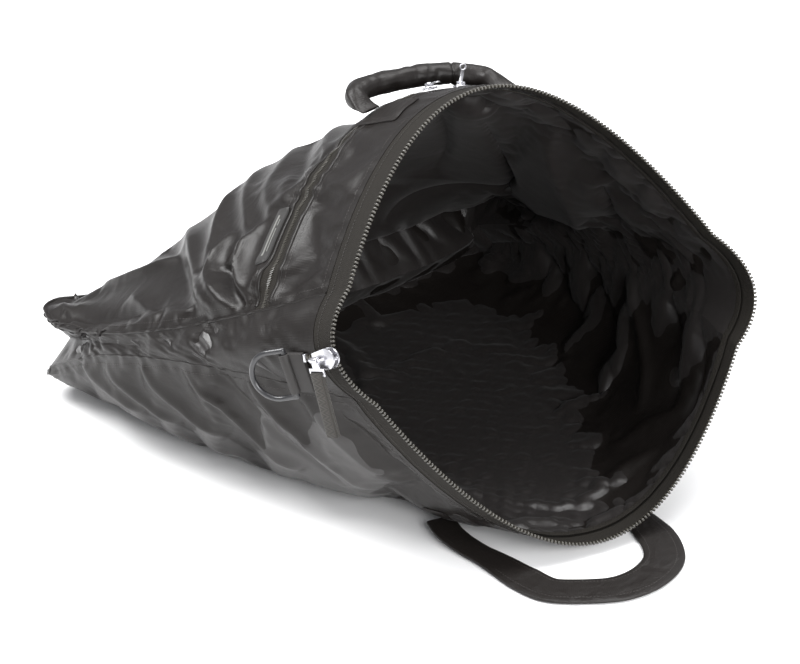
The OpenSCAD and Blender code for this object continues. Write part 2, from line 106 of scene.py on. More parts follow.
def enlarge(grid: np.ndarray, rows: np.ndarray, cols: np.ndarray) -> np.ndarray:
    """A grid's values at fractional rows and columns, by cubic interpolation each way.

    Args:
        grid: Values, (R, C, n).
        rows: Fractional row places, from 0 to R - 1.
        cols: Fractional column places, from 0 to C - 1.

    Returns:
        Values, (rows, columns, n).
    """

    def along(values: np.ndarray, places: np.ndarray) -> np.ndarray:
        """The Catmull-Rom cubic through four neighbours, along the first axis."""
        n = len(values) - 1
        i = np.clip(np.floor(places).astype(int), 0, n - 1)
        x = (places - i)[:, None, None]
        a, b = values[np.clip(i - 1, 0, n)], values[i]
        c, d = values[i + 1], values[np.clip(i + 2, 0, n)]
        return 0.5 * (2 * b + (c - a) * x + (2 * a - 5 * b + 4 * c - d) * x**2
                      + (3 * b - a - 3 * c + d) * x**3)

    return along(along(grid, rows).transpose(1, 0, 2), cols).transpose(1, 0, 2)


def spline(points: np.ndarray, count: int) -> np.ndarray:
    """A smooth run of count points, evenly spaced, on a Catmull-Rom curve through points."""
    fine = _cubic_line(np.asarray(points, float), 24 * len(points))
    return resample(fine[None], np.linspace(0, 1, count))[0]


def _cubic_line(points: np.ndarray, count: int) -> np.ndarray:
    """Count points on the Catmull-Rom cubic through given points."""
    n = len(points) - 1
    places = np.linspace(0, n, count)
    i = np.clip(np.floor(places).astype(int), 0, n - 1)
    x = (places - i)[:, None]
    a, b = points[np.clip(i - 1, 0, n)], points[i]
    c, d = points[i + 1], points[np.clip(i + 2, 0, n)]
    return 0.5 * (2 * b + (c - a) * x + (2 * a - 5 * b + 4 * c - d) * x**2
                  + (3 * b - a - 3 * c + d) * x**3)


def soft_noise(shape: tuple[int, int], cells: tuple[int, int], seed: int) -> np.ndarray:
    """Smooth random values near -1 to 1: a coarse seeded lattice, enlarged with cubics."""
    lattice = np.random.default_rng(seed).uniform(-1, 1, (cells[0] + 1, cells[1] + 1, 1))
    rows = np.linspace(0, cells[0], shape[0])
    cols = np.linspace(0, cells[1], shape[1])
    return enlarge(lattice, rows, cols)[..., 0]


# ---- meshes ----
def mesh_object(name: str, points: np.ndarray, faces: list[np.ndarray],
                uv: np.ndarray | None = None, smooth: float = 50.0) -> bpy.types.Object:
    """Puts points and faces into a new object at the origin, faces turned outwards.

    Args:
        name: Name of the piece.
        points: Points, (n, 3), in metres.
        faces: Arrays of faces, each (m, corners), that together close the shape.
        uv: One UV place for each point, (n, 2), in metres of cloth.
        smooth: Edges sharper than this angle, in degrees, stay sharp.

    Returns:
        The new object.
    """
    corners = [np.asarray(f) for f in faces if len(f)]
    volume = 0.0
    for f in corners:
        for k in range(1, f.shape[1] - 1):
            a, b, c = points[f[:, 0]], points[f[:, k]], points[f[:, k + 1]]
            volume += float((a * np.cross(b, c)).sum())
    if volume < 0:
        corners = [f[:, ::-1] for f in corners]
    mesh = bpy.data.meshes.new(name)
    mesh.vertices.add(len(points))
    mesh.vertices.foreach_set("co", np.asarray(points, np.float32).ravel())
    loops = np.concatenate([f.ravel() for f in corners]).astype(np.int32)
    sizes = np.concatenate([np.full(len(f), f.shape[1]) for f in corners])
    starts = np.concatenate([[0], np.cumsum(sizes)[:-1]]).astype(np.int32)
    mesh.loops.add(len(loops))
    mesh.loops.foreach_set("vertex_index", loops)
    mesh.polygons.add(len(sizes))
    mesh.polygons.foreach_set("loop_start", starts)
    mesh.update(calc_edges=True)
    mesh.polygons.foreach_set("use_smooth", np.ones(len(sizes), bool))
    if uv is not None:
        layer = mesh.uv_layers.new(name="cloth")
        layer.data.foreach_set("uv", np.asarray(uv, np.float32)[loops].ravel())
    mesh.set_sharp_from_angle(angle=math.radians(smooth))
    piece = bpy.data.objects.new(name, mesh)
    bpy.context.scene.collection.objects.link(piece)
    return piece


def grid_faces(rows: int, cols: int, first: int = 0, wrap: bool = False) -> np.ndarray:
    """Quads between neighbouring points of a grid, whose columns may close into a ring."""
    index = first + np.arange(rows * cols).reshape(rows, cols)
    if wrap:
        index = np.concatenate([index, index[:, :1]], axis=1)
    return np.stack([index[:-1, :-1], index[:-1, 1:], index[1:, 1:], index[1:, :-1]], -1).reshape(-1, 4)


def slab(name: str, outer: np.ndarray, inner: np.ndarray, smooth: float = 50.0,
         uv: np.ndarray | None = None) -> bpy.types.Object:
    """A closed sheet between two grids of points, with UVs along its rows and columns."""
    rows, cols = outer.shape[:2]
    count = rows * cols
    index = np.arange(count).reshape(rows, cols)
    rim = np.concatenate([index[0, :-1], index[:-1, -1], index[-1, :0:-1], index[:0:-1, 0]])
    turn = np.roll(rim, -1)
    top = grid_faces(rows, cols)
    bottom = grid_faces(rows, cols, count)[:, ::-1]
    edge = np.stack([turn, rim, rim + count, turn + count], -1)
    if uv is None:
        uv = surface_uv(outer)
    both = np.concatenate([uv.reshape(-1, 2)] * 2)
    points = np.concatenate([outer.reshape(-1, 3), inner.reshape(-1, 3)])
    return mesh_object(name, points, [top, bottom, edge], both, smooth)


def surface_uv(grid: np.ndarray) -> np.ndarray:
    """UVs in metres: mean running lengths along the columns and along the rows of a grid."""
    across = np.linalg.norm(np.diff(grid, axis=1), axis=2).mean(axis=0)
    along = np.linalg.norm(np.diff(grid, axis=0), axis=2).mean(axis=1)
    u = np.concatenate([[0], np.cumsum(across)])
    v = np.concatenate([[0], np.cumsum(along)])
    return np.stack(np.meshgrid(u, v), -1)


def frames_along(path: np.ndarray, near: np.ndarray) -> tuple[np.ndarray, np.ndarray, np.ndarray]:
    """Direction, side and up vectors along a path, the ups as close to near as they can be."""
    ahead = unit(np.gradient(path, axis=0))
    side = unit(np.cross(near, ahead))
    return ahead, side, np.cross(ahead, side)


def tube(name: str, path: np.ndarray, near: np.ndarray, width: np.ndarray, thick: np.ndarray,
         power: float = 1.0, around: int = 24, smooth: float = 50.0,
         extra: np.ndarray | None = None) -> bpy.types.Object:
    """A closed solid swept along a path.

    The section is the curve (|cos a|^power, |sin a|^power), signed, times half the width and half
    the thickness: an ellipse at power 1 and nearly a rectangle at a small power.

    Args:
        name: Name of the piece.
        path: Points of the centre line, (n, 3).
        near: Vector or vectors that the section's thickness points to.
        width: Full width at each point.
        thick: Full thickness at each point.
        power: Exponent of the section's curve.
        around: Points round the section.
        smooth: Edges sharper than this stay sharp.
        extra: Distance added outwards at each point of the surface, (n, around).

    Returns:
        The new object.
    """
    _, side, up = frames_along(path, np.broadcast_to(near, path.shape))
    angle = 2 * np.pi * np.arange(around) / around
    c = np.sign(np.cos(angle)) * np.abs(np.cos(angle)) ** power
    s = np.sign(np.sin(angle)) * np.abs(np.sin(angle)) ** power
    x = np.broadcast_to(width, len(path))[:, None] / 2 * c
    z = np.broadcast_to(thick, len(path))[:, None] / 2 * s
    if extra is not None:
        x, z = x + extra * np.cos(angle), z + extra * np.sin(angle)
    skin = path[:, None] + side[:, None] * x[..., None] + up[:, None] * z[..., None]
    points = np.concatenate([skin.reshape(-1, 3), path[:1], path[-1:]])
    n = len(path) * around
    ring = np.arange(around)
    start = np.stack([np.full(around, n), np.roll(ring, -1), ring], -1)
    last = n - around + ring
    end = np.stack([np.full(around, n + 1), last, np.roll(last, -1)], -1)
    run = np.concatenate([[0], np.cumsum(np.linalg.norm(np.diff(path, axis=0), axis=1))])
    girth = np.broadcast_to(width, len(path)).mean() * 1.6
    v = np.stack(np.meshgrid(ring / around * girth, run), -1).reshape(-1, 2)
    uv = np.concatenate([v, [[0, run[0]], [0, run[-1]]]])
    return mesh_object(name, points, [grid_faces(len(path), around, wrap=True), start, end], uv, smooth)


def copies(name: str, pattern: tuple[np.ndarray, list[np.ndarray]], origins: np.ndarray,
           axes: np.ndarray, smooth: float = 50.0) -> bpy.types.Object:
    """One object that repeats a small closed pattern.

    Args:
        name: Name of the piece.
        pattern: Points, (p, 3), and faces of one copy.
        origins: Place of each copy, (n, 3).
        axes: Rows x, y and z of each copy's frame, (n, 3, 3).
        smooth: Edges sharper than this stay sharp.

    Returns:
        The new object.
    """
    base, faces = pattern
    points = origins[:, None] + np.einsum("pk,nkc->npc", base, axes)
    offset = len(base) * np.arange(len(origins))
    every = [(f[None] + offset[:, None, None]).reshape(-1, f.shape[1]) for f in faces]
    return mesh_object(name, points.reshape(-1, 3), every, points.reshape(-1, 3)[:, :2], smooth)


def bead(rx: float, ry: float, rz: float, power: float = 0.6, around: int = 8,
         rings: int = 4) -> tuple[np.ndarray, list[np.ndarray]]:
    """A small rounded block: a superellipsoid whose cosines and sines are raised to a power."""
    lat = np.linspace(-np.pi / 2, np.pi / 2, rings + 2)[1:-1]
    lon = 2 * np.pi * (np.arange(around) + 0.5) / around

    def bent(values: np.ndarray) -> np.ndarray:
        """Signed values raised to the power."""
        return np.sign(values) * np.abs(values) ** power

    x = rx * np.outer(bent(np.cos(lat)), bent(np.cos(lon)))
    y = ry * np.outer(bent(np.cos(lat)), bent(np.sin(lon)))
    z = np.broadcast_to((rz * bent(np.sin(lat)))[:, None], x.shape)
    points = np.concatenate([np.stack([x, y, z], -1).reshape(-1, 3), [[0, 0, -rz], [0, 0, rz]]])
    n = rings * around
    ring = np.arange(around)
    low = np.stack([np.full(around, n), np.roll(ring, -1), ring], -1)
    top = n - around + ring
    high = np.stack([np.full(around, n + 1), top, np.roll(top, -1)], -1)
    return points, [grid_faces(rings, around, wrap=True), low, high]


# ---- the bag's undisturbed shape ----
class Panel(Enum):
    """The two large panels of the bag."""

    FRONT = "front"
    BACK = "back"


@dataclass(frozen=True)
class BagShape:
    """Undisturbed surfaces of the bag, in the part's own frame.

    A panel is a function of its share across, from the right seam (0) to the left seam (1), and of
    its station, from the closed end (0) to the teeth (1).
    """

    width: float = 0.500
    front_edge: float = 0.095
    back_edge: float = 0.042
    corner: float = 0.030
    pull_in: float = 0.022
    end_pleat: float = 0.038
    side_pleat: float = 0.020
    mouth_width: float = 0.414
    mouth_shift: float = 0.033
    right_end: tuple[float, float] = (0.422, 0.215)
    left_end: tuple[float, float] = (0.458, 0.179)
    lip_rise: float = 0.182
    lip_back: float = 0.095
    lip_drop: float = 0.187
    lip_forward: float = 0.075
    seam_share: float = 0.866
    centre: tuple[float, float, float] = (0.2979, 0.00465, 0.0)

    def lip(self, v: np.ndarray, panel: Panel) -> np.ndarray:
        """A parabola over v from -1 at the right end of the zip to 1 at the left end."""
        v = np.asarray(v, float)
        bow, half = 1 - v * v, (v + 1) / 2
        front = panel is Panel.FRONT
        x = self.right_end[0] + (self.left_end[0] - self.right_end[0]) * half
        z = self.right_end[1] + (self.left_end[1] - self.right_end[1]) * half
        return np.stack([x + bow * (-self.lip_back if front else self.lip_forward),
                         self.mouth_shift + v * self.mouth_width / 2,
                         z + bow * (self.lip_rise if front else -self.lip_drop)], -1)

    def seam(self, panel: Panel, side: int, t: np.ndarray) -> np.ndarray:
        """The seam between a panel and the gusset, a quadratic curve of the station t."""
        end = self.right_end if side < 0 else self.left_end
        half = side * self.width / 2
        if panel is Panel.FRONT:
            a = [self.corner, half, self.front_edge]
            b = [0.33 * end[0], 1.07 * half, self.front_edge + 0.007]
        else:
            a = [self.corner, half, self.back_edge]
            b = [0.51 * end[0], 1.045 * half, 0.75 * end[1]]
        return self._curve(a, b, self.lip(side * self.seam_share, panel), t)

    @staticmethod
    def _curve(a: list[float], b: list[float], c: np.ndarray, t: np.ndarray) -> np.ndarray:
        """The quadratic (1-t)^2 a + 2t(1-t) b + t^2 c."""
        t = np.asarray(t, float)[:, None]
        return (1 - t) ** 2 * np.asarray(a) + 2 * t * (1 - t) * np.asarray(b) + t * t * c

    def middle(self, panel: Panel, t: np.ndarray) -> np.ndarray:
        """The centre line of a panel; the back one lies on the ground for a stretch."""
        c = self.lip(0.0, panel)
        if panel is Panel.FRONT:
            return self._curve([self.corner, 0, self.front_edge - 0.009],
                               [0.12 * self.right_end[0], 0.015, 0.270], c, t)
        line = self._curve([self.corner, 0, 0], [0.260, 0.015, 0], c, t)
        line[:, 2] = 0.018 * (1 - t) ** 3 - 0.004 + (c[2] + 0.004) * t**4
        return line

    def _trimmed(self, p: np.ndarray, t: np.ndarray) -> np.ndarray:
        """Rounds the closed corners in plan, draws the closed edge in, and keeps off the ground."""
        flat = self.width / 2 - self.corner
        over = np.abs(p[..., 1]) - flat
        edge = np.where(over > 0,
                        self.corner - np.sqrt(np.maximum(0, self.corner**2 - over**2)),
                        self.pull_in * (1 - (p[..., 1] / flat) ** 2))
        p = p.copy()
        p[..., 0] += (edge - self.corner) * (1 - t[:, None]) ** 4
        p[..., 2] = np.maximum(0, p[..., 2])
        return p

    def panel(self, panel: Panel, t: np.ndarray, f: np.ndarray) -> np.ndarray:
        """Points of a panel at stations t and shares f, (len(t), len(f), 3)."""
        a, b = (self.seam(panel, side, t)[:, None] for side in (-1, 1))
        span = np.linspace(-1, 1, 97)[None, :]
        size = np.abs(span)
        row = t[:, None]
        rise = (self.middle(panel, t)[:, None] - (a + b) / 2)
        if panel is Panel.FRONT:
            place, up = (span + 1) / 2 + 0 * row, 1 - size ** (2.6 - 0.6 * row**1.5)
        else:
            w = row**1.6
            bend = np.sin(np.pi / 2 * size) ** 0.444
            place = (np.sign(span) * ((1 - w) * bend + w * size) + 1) / 2
            fall = 1 - np.clip(np.cos(np.pi / 2 * size), 0, 1) ** 0.444
            up = 1 - ((1 - w) * fall + w * span**2)
        dense = a + (b - a) * place[..., None] + rise * up[..., None]
        return resample(self._trimmed(dense, t), f) - np.asarray(self.centre)

    def gusset(self, front: np.ndarray, back: np.ndarray, t: np.ndarray, f: np.ndarray,
               folds: int) -> np.ndarray:
        """The gusset between the borders of the two panels, (border points, folds + 1, 3).

        A row runs straight from seam to seam, pushed inward as a pleat that fades along the
        sides, and outward near the ends of the zip.
        """
        a, b = border(front), border(back)
        n = len(t) - 1
        station = np.concatenate([t[::-1], np.zeros(len(f) - 1), t[1:]])
        pleat = self.side_pleat * np.maximum(0, 1 - station / 0.6) ** 1.5
        swell = 1 - np.abs(2 * f - 1) ** 6
        pleat[n:n + len(f)] = self.side_pleat + (self.end_pleat - self.side_pleat) * swell
        centre = (a + b) / 2
        ahead = smooth_rows(np.gradient(centre, axis=0), 9)
        inward = unit(np.stack([ahead[:, 1], -ahead[:, 0], 0 * ahead[:, 0]], -1))
        push = np.zeros_like(a)
        for side, rows in ((-1, slice(0, n + 1)), (1, slice(n + len(f) - 1, None))):
            corner = self.lip(float(side), Panel.FRONT)
            seams = [self.lip(side * self.seam_share, p) for p in Panel]
            push[rows] = station[rows, None] ** 3 * (corner - (seams[0] + seams[1]) / 2)
        w = np.linspace(0, 1, folds + 1)[None, :, None]
        return (a[:, None] * (1 - w) + b[:, None] * w
                + (inward * pleat[:, None])[:, None] * (1 - np.abs(2 * w - 1))
                + push[:, None] * (1 - (2 * w - 1) ** 2))


def border(grid: np.ndarray) -> np.ndarray:
    """The edge of a panel's grid: up the right side, along the closed end, up the left side."""
    return np.concatenate([grid[::-1, 0], grid[0, 1:], grid[1:, -1]])


def smooth_rows(values: np.ndarray, reach: int) -> np.ndarray:
    """A moving mean over the first axis, reach entries to each side."""
    padded = np.concatenate([values[:1].repeat(reach, 0), values, values[-1:].repeat(reach, 0)])
    total = np.cumsum(np.concatenate([padded[:1] * 0, padded]), axis=0)
    return (total[2 * reach + 1:] - total[:-2 * reach - 1]) / (2 * reach + 1)


# ---- folds ----
@dataclass(frozen=True)
class Fold:
    """A crease along a spine on a panel.

    Its height falls with the distance d from the spine as exp(-sqrt(d^2 + r^2) / width), where r
    rounds its crest, and fades out towards both ends of the spine.
    """

    spine: tuple[tuple[float, float], ...]
    height: float
    width: float
    crest: float = 0.35

    def lift(self, grid: np.ndarray, t: np.ndarray, f: np.ndarray) -> np.ndarray:
        """Height of the fold at each point of a panel's grid, in metres."""
        line = _cubic_line(np.asarray(self.spine, float), 22)
        row = np.interp(line[:, 1], t, np.arange(len(t)))
        col = np.interp(line[:, 0], f, np.arange(len(f)))
        i = np.minimum(row.astype(int), len(t) - 2)
        j = np.minimum(col.astype(int), len(f) - 2)
        a, b = (row - i)[:, None], (col - j)[:, None]
        spots = ((grid[i, j] * (1 - b) + grid[i, j + 1] * b) * (1 - a)
                 + (grid[i + 1, j] * (1 - b) + grid[i + 1, j + 1] * b) * a)
        near, place = np.full(grid.shape[:2], np.inf), np.zeros(grid.shape[:2])
        for k in range(len(spots) - 1):
            start, run = spots[k], spots[k + 1] - spots[k]
            share = np.clip((grid - start) @ run / (run @ run), 0, 1)
            away = np.linalg.norm(grid - start - share[..., None] * run, axis=-1)
            closer = away < near
            near = np.where(closer, away, near)
            place = np.where(closer, (k + share) / (len(spots) - 1), place)
        fade = np.clip(np.minimum(place, 1 - place) * 4, 0, 1) ** 0.7
        r = self.crest * self.width
        shape = np.exp(-(np.sqrt(near**2 + r * r) - r) / self.width)
        return self.height * fade * shape


FRONT_FOLDS = (
    # the tent of folds that gathers at the right end of the pocket zip
    Fold(((0.012, 0.81), (0.045, 0.775), (0.085, 0.75), (0.125, 0.745), (0.16, 0.76)), 0.012, 0.008),
    Fold(((0.11, 0.79), (0.07, 0.815), (0.03, 0.81)), 0.008, 0.006),
    Fold(((0.005, 0.775), (0.05, 0.715), (0.09, 0.672), (0.125, 0.66), (0.17, 0.66)), 0.013, 0.009),
    Fold(((0.01, 0.80), (0.055, 0.75), (0.10, 0.70)), -0.010, 0.007),
    Fold(((0.0, 0.74), (0.05, 0.68), (0.11, 0.59), (0.18, 0.49), (0.24, 0.38)), 0.009, 0.010),
    Fold(((0.10, 0.64), (0.16, 0.605), (0.23, 0.55), (0.32, 0.50)), 0.008, 0.010),
    Fold(((0.12, 0.75), (0.20, 0.67), (0.30, 0.56), (0.40, 0.47)), 0.007, 0.012),
    Fold(((0.06, 0.63), (0.12, 0.53), (0.17, 0.44), (0.20, 0.33)), -0.007, 0.010),
    # long soft folds over the crown
    Fold(((0.15, 0.80), (0.24, 0.70), (0.36, 0.60), (0.46, 0.45)), 0.006, 0.014),
    Fold(((0.22, 0.80), (0.31, 0.71), (0.40, 0.60)), -0.005, 0.010),
    Fold(((0.30, 0.80), (0.38, 0.70), (0.50, 0.58)), 0.006, 0.012),
    Fold(((0.14, 0.05), (0.135, 0.20), (0.145, 0.36), (0.17, 0.49)), 0.007, 0.007),
    Fold(((0.03, 0.12), (0.04, 0.28), (0.05, 0.42), (0.055, 0.54)), -0.005, 0.006),
    Fold(((0.09, 0.36), (0.06, 0.46), (0.02, 0.56)), 0.005, 0.006),
    Fold(((0.07, 0.05), (0.04, 0.16), (0.01, 0.26)), 0.005, 0.007),
    # the far side, which no one fold dominates
    Fold(((0.52, 0.80), (0.60, 0.68), (0.68, 0.52), (0.72, 0.36)), 0.009, 0.012),
    Fold(((0.62, 0.78), (0.72, 0.66), (0.82, 0.52), (0.88, 0.36)), 0.010, 0.010),
    Fold(((0.74, 0.80), (0.84, 0.72), (0.93, 0.62), (0.99, 0.50)), -0.008, 0.009),
    Fold(((0.86, 0.80), (0.93, 0.75), (0.99, 0.68)), 0.009, 0.008),
    Fold(((0.70, 0.10), (0.74, 0.24), (0.82, 0.36), (0.93, 0.44)), 0.008, 0.010),
    Fold(((0.86, 0.06), (0.88, 0.20), (0.94, 0.32)), -0.006, 0.008),
    Fold(((0.34, 0.08), (0.42, 0.20), (0.56, 0.28), (0.70, 0.30)), 0.006, 0.014),
)
BACK_FOLDS = (
    Fold(((0.01, 0.18), (0.06, 0.27), (0.11, 0.33)), 0.006, 0.010),
    Fold(((0.01, 0.29), (0.07, 0.36), (0.13, 0.42)), 0.007, 0.010),
    Fold(((0.01, 0.42), (0.08, 0.48), (0.15, 0.53)), 0.008, 0.010),
    Fold(((0.005, 0.55), (0.07, 0.61), (0.15, 0.66), (0.20, 0.68)), 0.009, 0.009),
    Fold(((0.005, 0.64), (0.08, 0.70), (0.16, 0.74), (0.22, 0.76)), -0.006, 0.008),
    Fold(((0.005, 0.72), (0.09, 0.77), (0.18, 0.80), (0.26, 0.81)), 0.009, 0.009),
    Fold(((0.01, 0.84), (0.08, 0.86), (0.16, 0.87), (0.24, 0.88)), 0.006, 0.009),
    Fold(((0.02, 0.90), (0.10, 0.915), (0.20, 0.925), (0.30, 0.91)), -0.005, 0.008),
    Fold(((0.99, 0.20), (0.93, 0.30), (0.88, 0.42)), 0.008, 0.011),
    Fold(((0.99, 0.38), (0.92, 0.48), (0.86, 0.58)), 0.008, 0.010),
    Fold(((0.99, 0.56), (0.92, 0.64), (0.86, 0.70), (0.80, 0.74)), -0.007, 0.009),
    Fold(((0.99, 0.72), (0.91, 0.78), (0.82, 0.83)), 0.009, 0.010),
    Fold(((0.98, 0.86), (0.90, 0.89), (0.80, 0.90)), 0.007, 0.009),
)


# ---- cloth simulation ----
@dataclass(frozen=True)
class ClothSimulation:
    """Lets spare cloth settle into wrinkles, held at the zip and at chosen spots."""

    growth: float
    bending: float
    frames: int = 24
    seed: int = 3
    cap: float = 0.011

    def settle(self, points: np.ndarray, quads: np.ndarray, held: np.ndarray) -> np.ndarray:
        """Runs the simulation and returns how far each point moved.

        Args:
            points: Points at the start, (n, 3).
            quads: Faces, (m, 4).
            held: How firmly each point is held, from 0 to 1.

        Returns:
            Moves, (n, 3), whose lengths approach but never pass the cap.
        """
        mesh = bpy.data.meshes.new("settling")
        mesh.from_pydata(points.tolist(), [], quads.tolist())
        cloth = bpy.data.objects.new("settling", mesh)
        bpy.context.scene.collection.objects.link(cloth)
        group = cloth.vertex_groups.new(name="held")
        steps = np.rint(held * 10).astype(int)
        for level in range(1, 11):
            group.add(np.flatnonzero(steps == level).tolist(), level / 10, "REPLACE")
        modifier = cloth.modifiers.new("Cloth", "CLOTH")
        s = modifier.settings
        s.quality = 5
        s.mass = 0.12
        s.tension_stiffness = s.compression_stiffness = 18
        s.shear_stiffness = 8
        s.bending_stiffness = self.bending
        s.shrink_min = -self.growth
        s.vertex_group_mass = "held"
        s.air_damping = 4
        s.effector_weights.gravity = 0.25
        modifier.collision_settings.use_collision = False
        modifier.collision_settings.use_self_collision = False
        scene = bpy.context.scene
        for number in range(1, self.frames + 1):
            scene.frame_set(number)
        shown = cloth.evaluated_get(bpy.context.evaluated_depsgraph_get())
        after = np.zeros(len(points) * 3, np.float32)
        shown.data.vertices.foreach_get("co", after)
        move = after.reshape(-1, 3).astype(float) - points
        bpy.data.objects.remove(cloth)
        bpy.data.meshes.remove(mesh)
        scene.frame_set(1)
        size = np.linalg.norm(move, axis=1, keepdims=True)
        return move * self.cap * np.tanh(size / self.cap) / np.maximum(size, 1e-9)


@dataclass
class Surfaces:
    """The creased cloth: grids of the two panels and the gusset, for shell and for lining."""

    shape: BagShape = field(default_factory=BagShape)
    rows: int = 191
    cols: int = 231
    folds: int = 24
    floor_gap: float = 0.0003
    anchors: list[tuple[np.ndarray, float]] = field(default_factory=list)

    def __post_init__(self) -> None:
        """Works out the undisturbed fine grids."""
        self.t = np.linspace(0, 1, self.rows)
        self.f = np.linspace(0, 1, self.cols)
        self.base = {p: self.shape.panel(p, self.t, self.f) for p in Panel}
        self.base_gusset = self._gusset(self.base, self.t, self.f, self.folds)

    def _gusset(self, panels: dict[Panel, np.ndarray], t: np.ndarray, f: np.ndarray,
                folds: int) -> np.ndarray:
        """The gusset between two panels' grids."""
        return self.shape.gusset(panels[Panel.FRONT], panels[Panel.BACK], t, f, folds)

    def anchor(self, node: str, reach: float) -> None:
        """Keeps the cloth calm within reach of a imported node's middle."""
        low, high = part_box(node)
        centre = (np.array(low) + np.array(high)) / 2
        self.anchors.append((centre, reach + float(np.linalg.norm(np.array(high) - np.array(low))) / 2))

    def calm(self, grid: np.ndarray) -> np.ndarray:
        """A share from 0 at the anchors' middles to 1 away from them."""
        share = np.ones(grid.shape[:-1])
        for centre, reach in self.anchors:
            away = np.linalg.norm(grid - centre, axis=-1)
            share = np.minimum(share, smooth_step((away - 0.45 * reach) / (0.75 * reach)))
        return share

    def crease(self) -> None:
        """Adds the listed folds, runs the simulations, and keeps the finished grids."""
        fine = {}
        for panel, folds, turn in ((Panel.FRONT, FRONT_FOLDS, -1), (Panel.BACK, BACK_FOLDS, 1)):
            grid = self.base[panel]
            lift = sum(fold.lift(grid, self.t, self.f) for fold in folds)
            edge = smooth_step(np.minimum(self.f, 1 - self.f) / 0.02)[None]
            ends = smooth_step(self.t / 0.05) * smooth_step((0.965 - self.t) / 0.04)
            lift = lift * edge * ends[:, None] * self.calm(grid)
            fine[panel] = grid + grid_normals(grid, turn) * lift[..., None]
        self.shell = self._settled(fine, ClothSimulation(0.016, 5.0), 0.6)
        self.inner = self._settled(fine, ClothSimulation(0.032, 2.0, seed=8, cap=0.012), 0.4)

    def _settled(self, fine: dict[Panel, np.ndarray], simulation: ClothSimulation,
                 noise: float) -> dict[str, np.ndarray]:
        """Settles the whole bag at a coarse pitch and carries the moves to the fine grids."""
        gusset = self._gusset(fine, self.t, self.f, self.folds)
        step, narrow = 3, 3
        rows, cols = np.arange(0, self.rows, step), np.arange(0, self.cols, step)
        rows[-1], cols[-1] = self.rows - 1, self.cols - 1
        t, f = self.t[rows], self.f[cols]
        coarse = {p: fine[p][np.ix_(rows, cols)] for p in Panel}
        strip = self._gusset(coarse, t, f, self.folds // narrow)
        points, quads, index, held = self._joined(coarse, strip, t, f)
        rng = np.random.default_rng(simulation.seed)
        start = points + rng.normal(0, 0.0004 * noise, points.shape) * (held < 1)[:, None]
        move = simulation.settle(start, quads, held)
        move *= self.calm(points)[:, None]
        places_r = np.interp(np.arange(self.rows), rows, np.arange(len(rows)))
        places_c = np.interp(np.arange(self.cols), cols, np.arange(len(cols)))
        for p in Panel:
            fine[p] = fine[p] + enlarge(move[index[p]], places_r, places_c)
        n, m = len(rows), len(cols)
        path = np.concatenate([np.interp(np.arange(self.rows), rows, np.arange(n)),
                               n - 1 + places_c[1:], n + m - 2 + places_r[1:]])
        across = np.linspace(0, self.folds // narrow, self.folds + 1)
        gusset = gusset + enlarge(move[index["gusset"]], path, across)
        gusset[:, 0], gusset[:, -1] = border(fine[Panel.FRONT]), border(fine[Panel.BACK])
        out = {"front": fine[Panel.FRONT], "back": fine[Panel.BACK], "gusset": gusset}
        for grid in out.values():
            grid[..., 2] = np.maximum(grid[..., 2], self.floor_gap)
        return out

    def _joined(self, panels: dict[Panel, np.ndarray], strip: np.ndarray, t: np.ndarray,
                f: np.ndarray) -> tuple[np.ndarray, np.ndarray, dict, np.ndarray]:
        """One mesh of the panels and gusset with shared seams, and how firmly it is held."""
        n, m = len(t), len(f)
        index = {Panel.FRONT: np.arange(n * m).reshape(n, m)}
        index[Panel.BACK] = index[Panel.FRONT] + n * m
        s, k = strip.shape[:2]
        inside = 2 * n * m + np.arange(s * (k - 2)).reshape(s, k - 2)
        borders = [border(index[p][..., None])[:, 0] for p in Panel]
        index["gusset"] = np.concatenate([borders[0][:, None], inside, borders[1][:, None]], axis=1)
        points = np.concatenate([panels[p].reshape(-1, 3) for p in Panel]
                                + [strip[:, 1:-1].reshape(-1, 3)])
        quads = []
        for name in (Panel.FRONT, Panel.BACK, "gusset"):
            g = index[name]
            quads.append(np.stack([g[:-1, :-1], g[:-1, 1:], g[1:, 1:], g[1:, :-1]], -1).reshape(-1, 4))
        held = np.zeros(len(points))
        rim = smooth_step((t - 0.93) / 0.035)
        pocket = 0.55 * np.exp(-((t - 0.835) / 0.02) ** 2)
        held[index[Panel.FRONT]] = np.maximum(rim, pocket)[:, None]
        held[index[Panel.BACK]] = rim[:, None]
        station = np.concatenate([t[::-1], np.zeros(m - 1), t[1:]])
        held[index["gusset"][:, 1:-1]] = smooth_step((station - 0.9) / 0.05)[:, None]
        for b in borders:
            held[b] = np.maximum(held[b], 0.8)
        held = np.maximum(held, 1 - self.calm(points))
        held[points[:, 2] < 0.0025] = np.maximum(held[points[:, 2] < 0.0025], 0.6)
        return points, np.concatenate(quads), index, held


# ---- finishes ----
class NodeBench:
    """Adds and joins the nodes of one node tree."""

    def __init__(self, tree: bpy.types.NodeTree) -> None:
        """Keeps the tree."""
        self.tree = tree

    def add(self, kind: str, inputs: dict | None = None, **settings: object) -> bpy.types.Node:
        """Adds a node, sets its attributes, and sets or joins its inputs.

        Args:
            kind: The node's type name.
            inputs: For each input, a value or an output socket to join.
            **settings: Attributes of the node.

        Returns:
            The node.
        """
        node = self.tree.nodes.new(kind)
        for name, value in settings.items():
            setattr(node, name, value)
        for name, value in (inputs or {}).items():
            socket = node.inputs[name]
            if isinstance(value, bpy.types.NodeSocket):
                self.tree.links.new(value, socket)
            else:
                socket.default_value = value
        return node

    def math(self, operation: str, *values: object) -> bpy.types.NodeSocket:
        """The result of a Math node on values or sockets."""
        return self.add("ShaderNodeMath", dict(enumerate(values)), operation=operation).outputs[0]


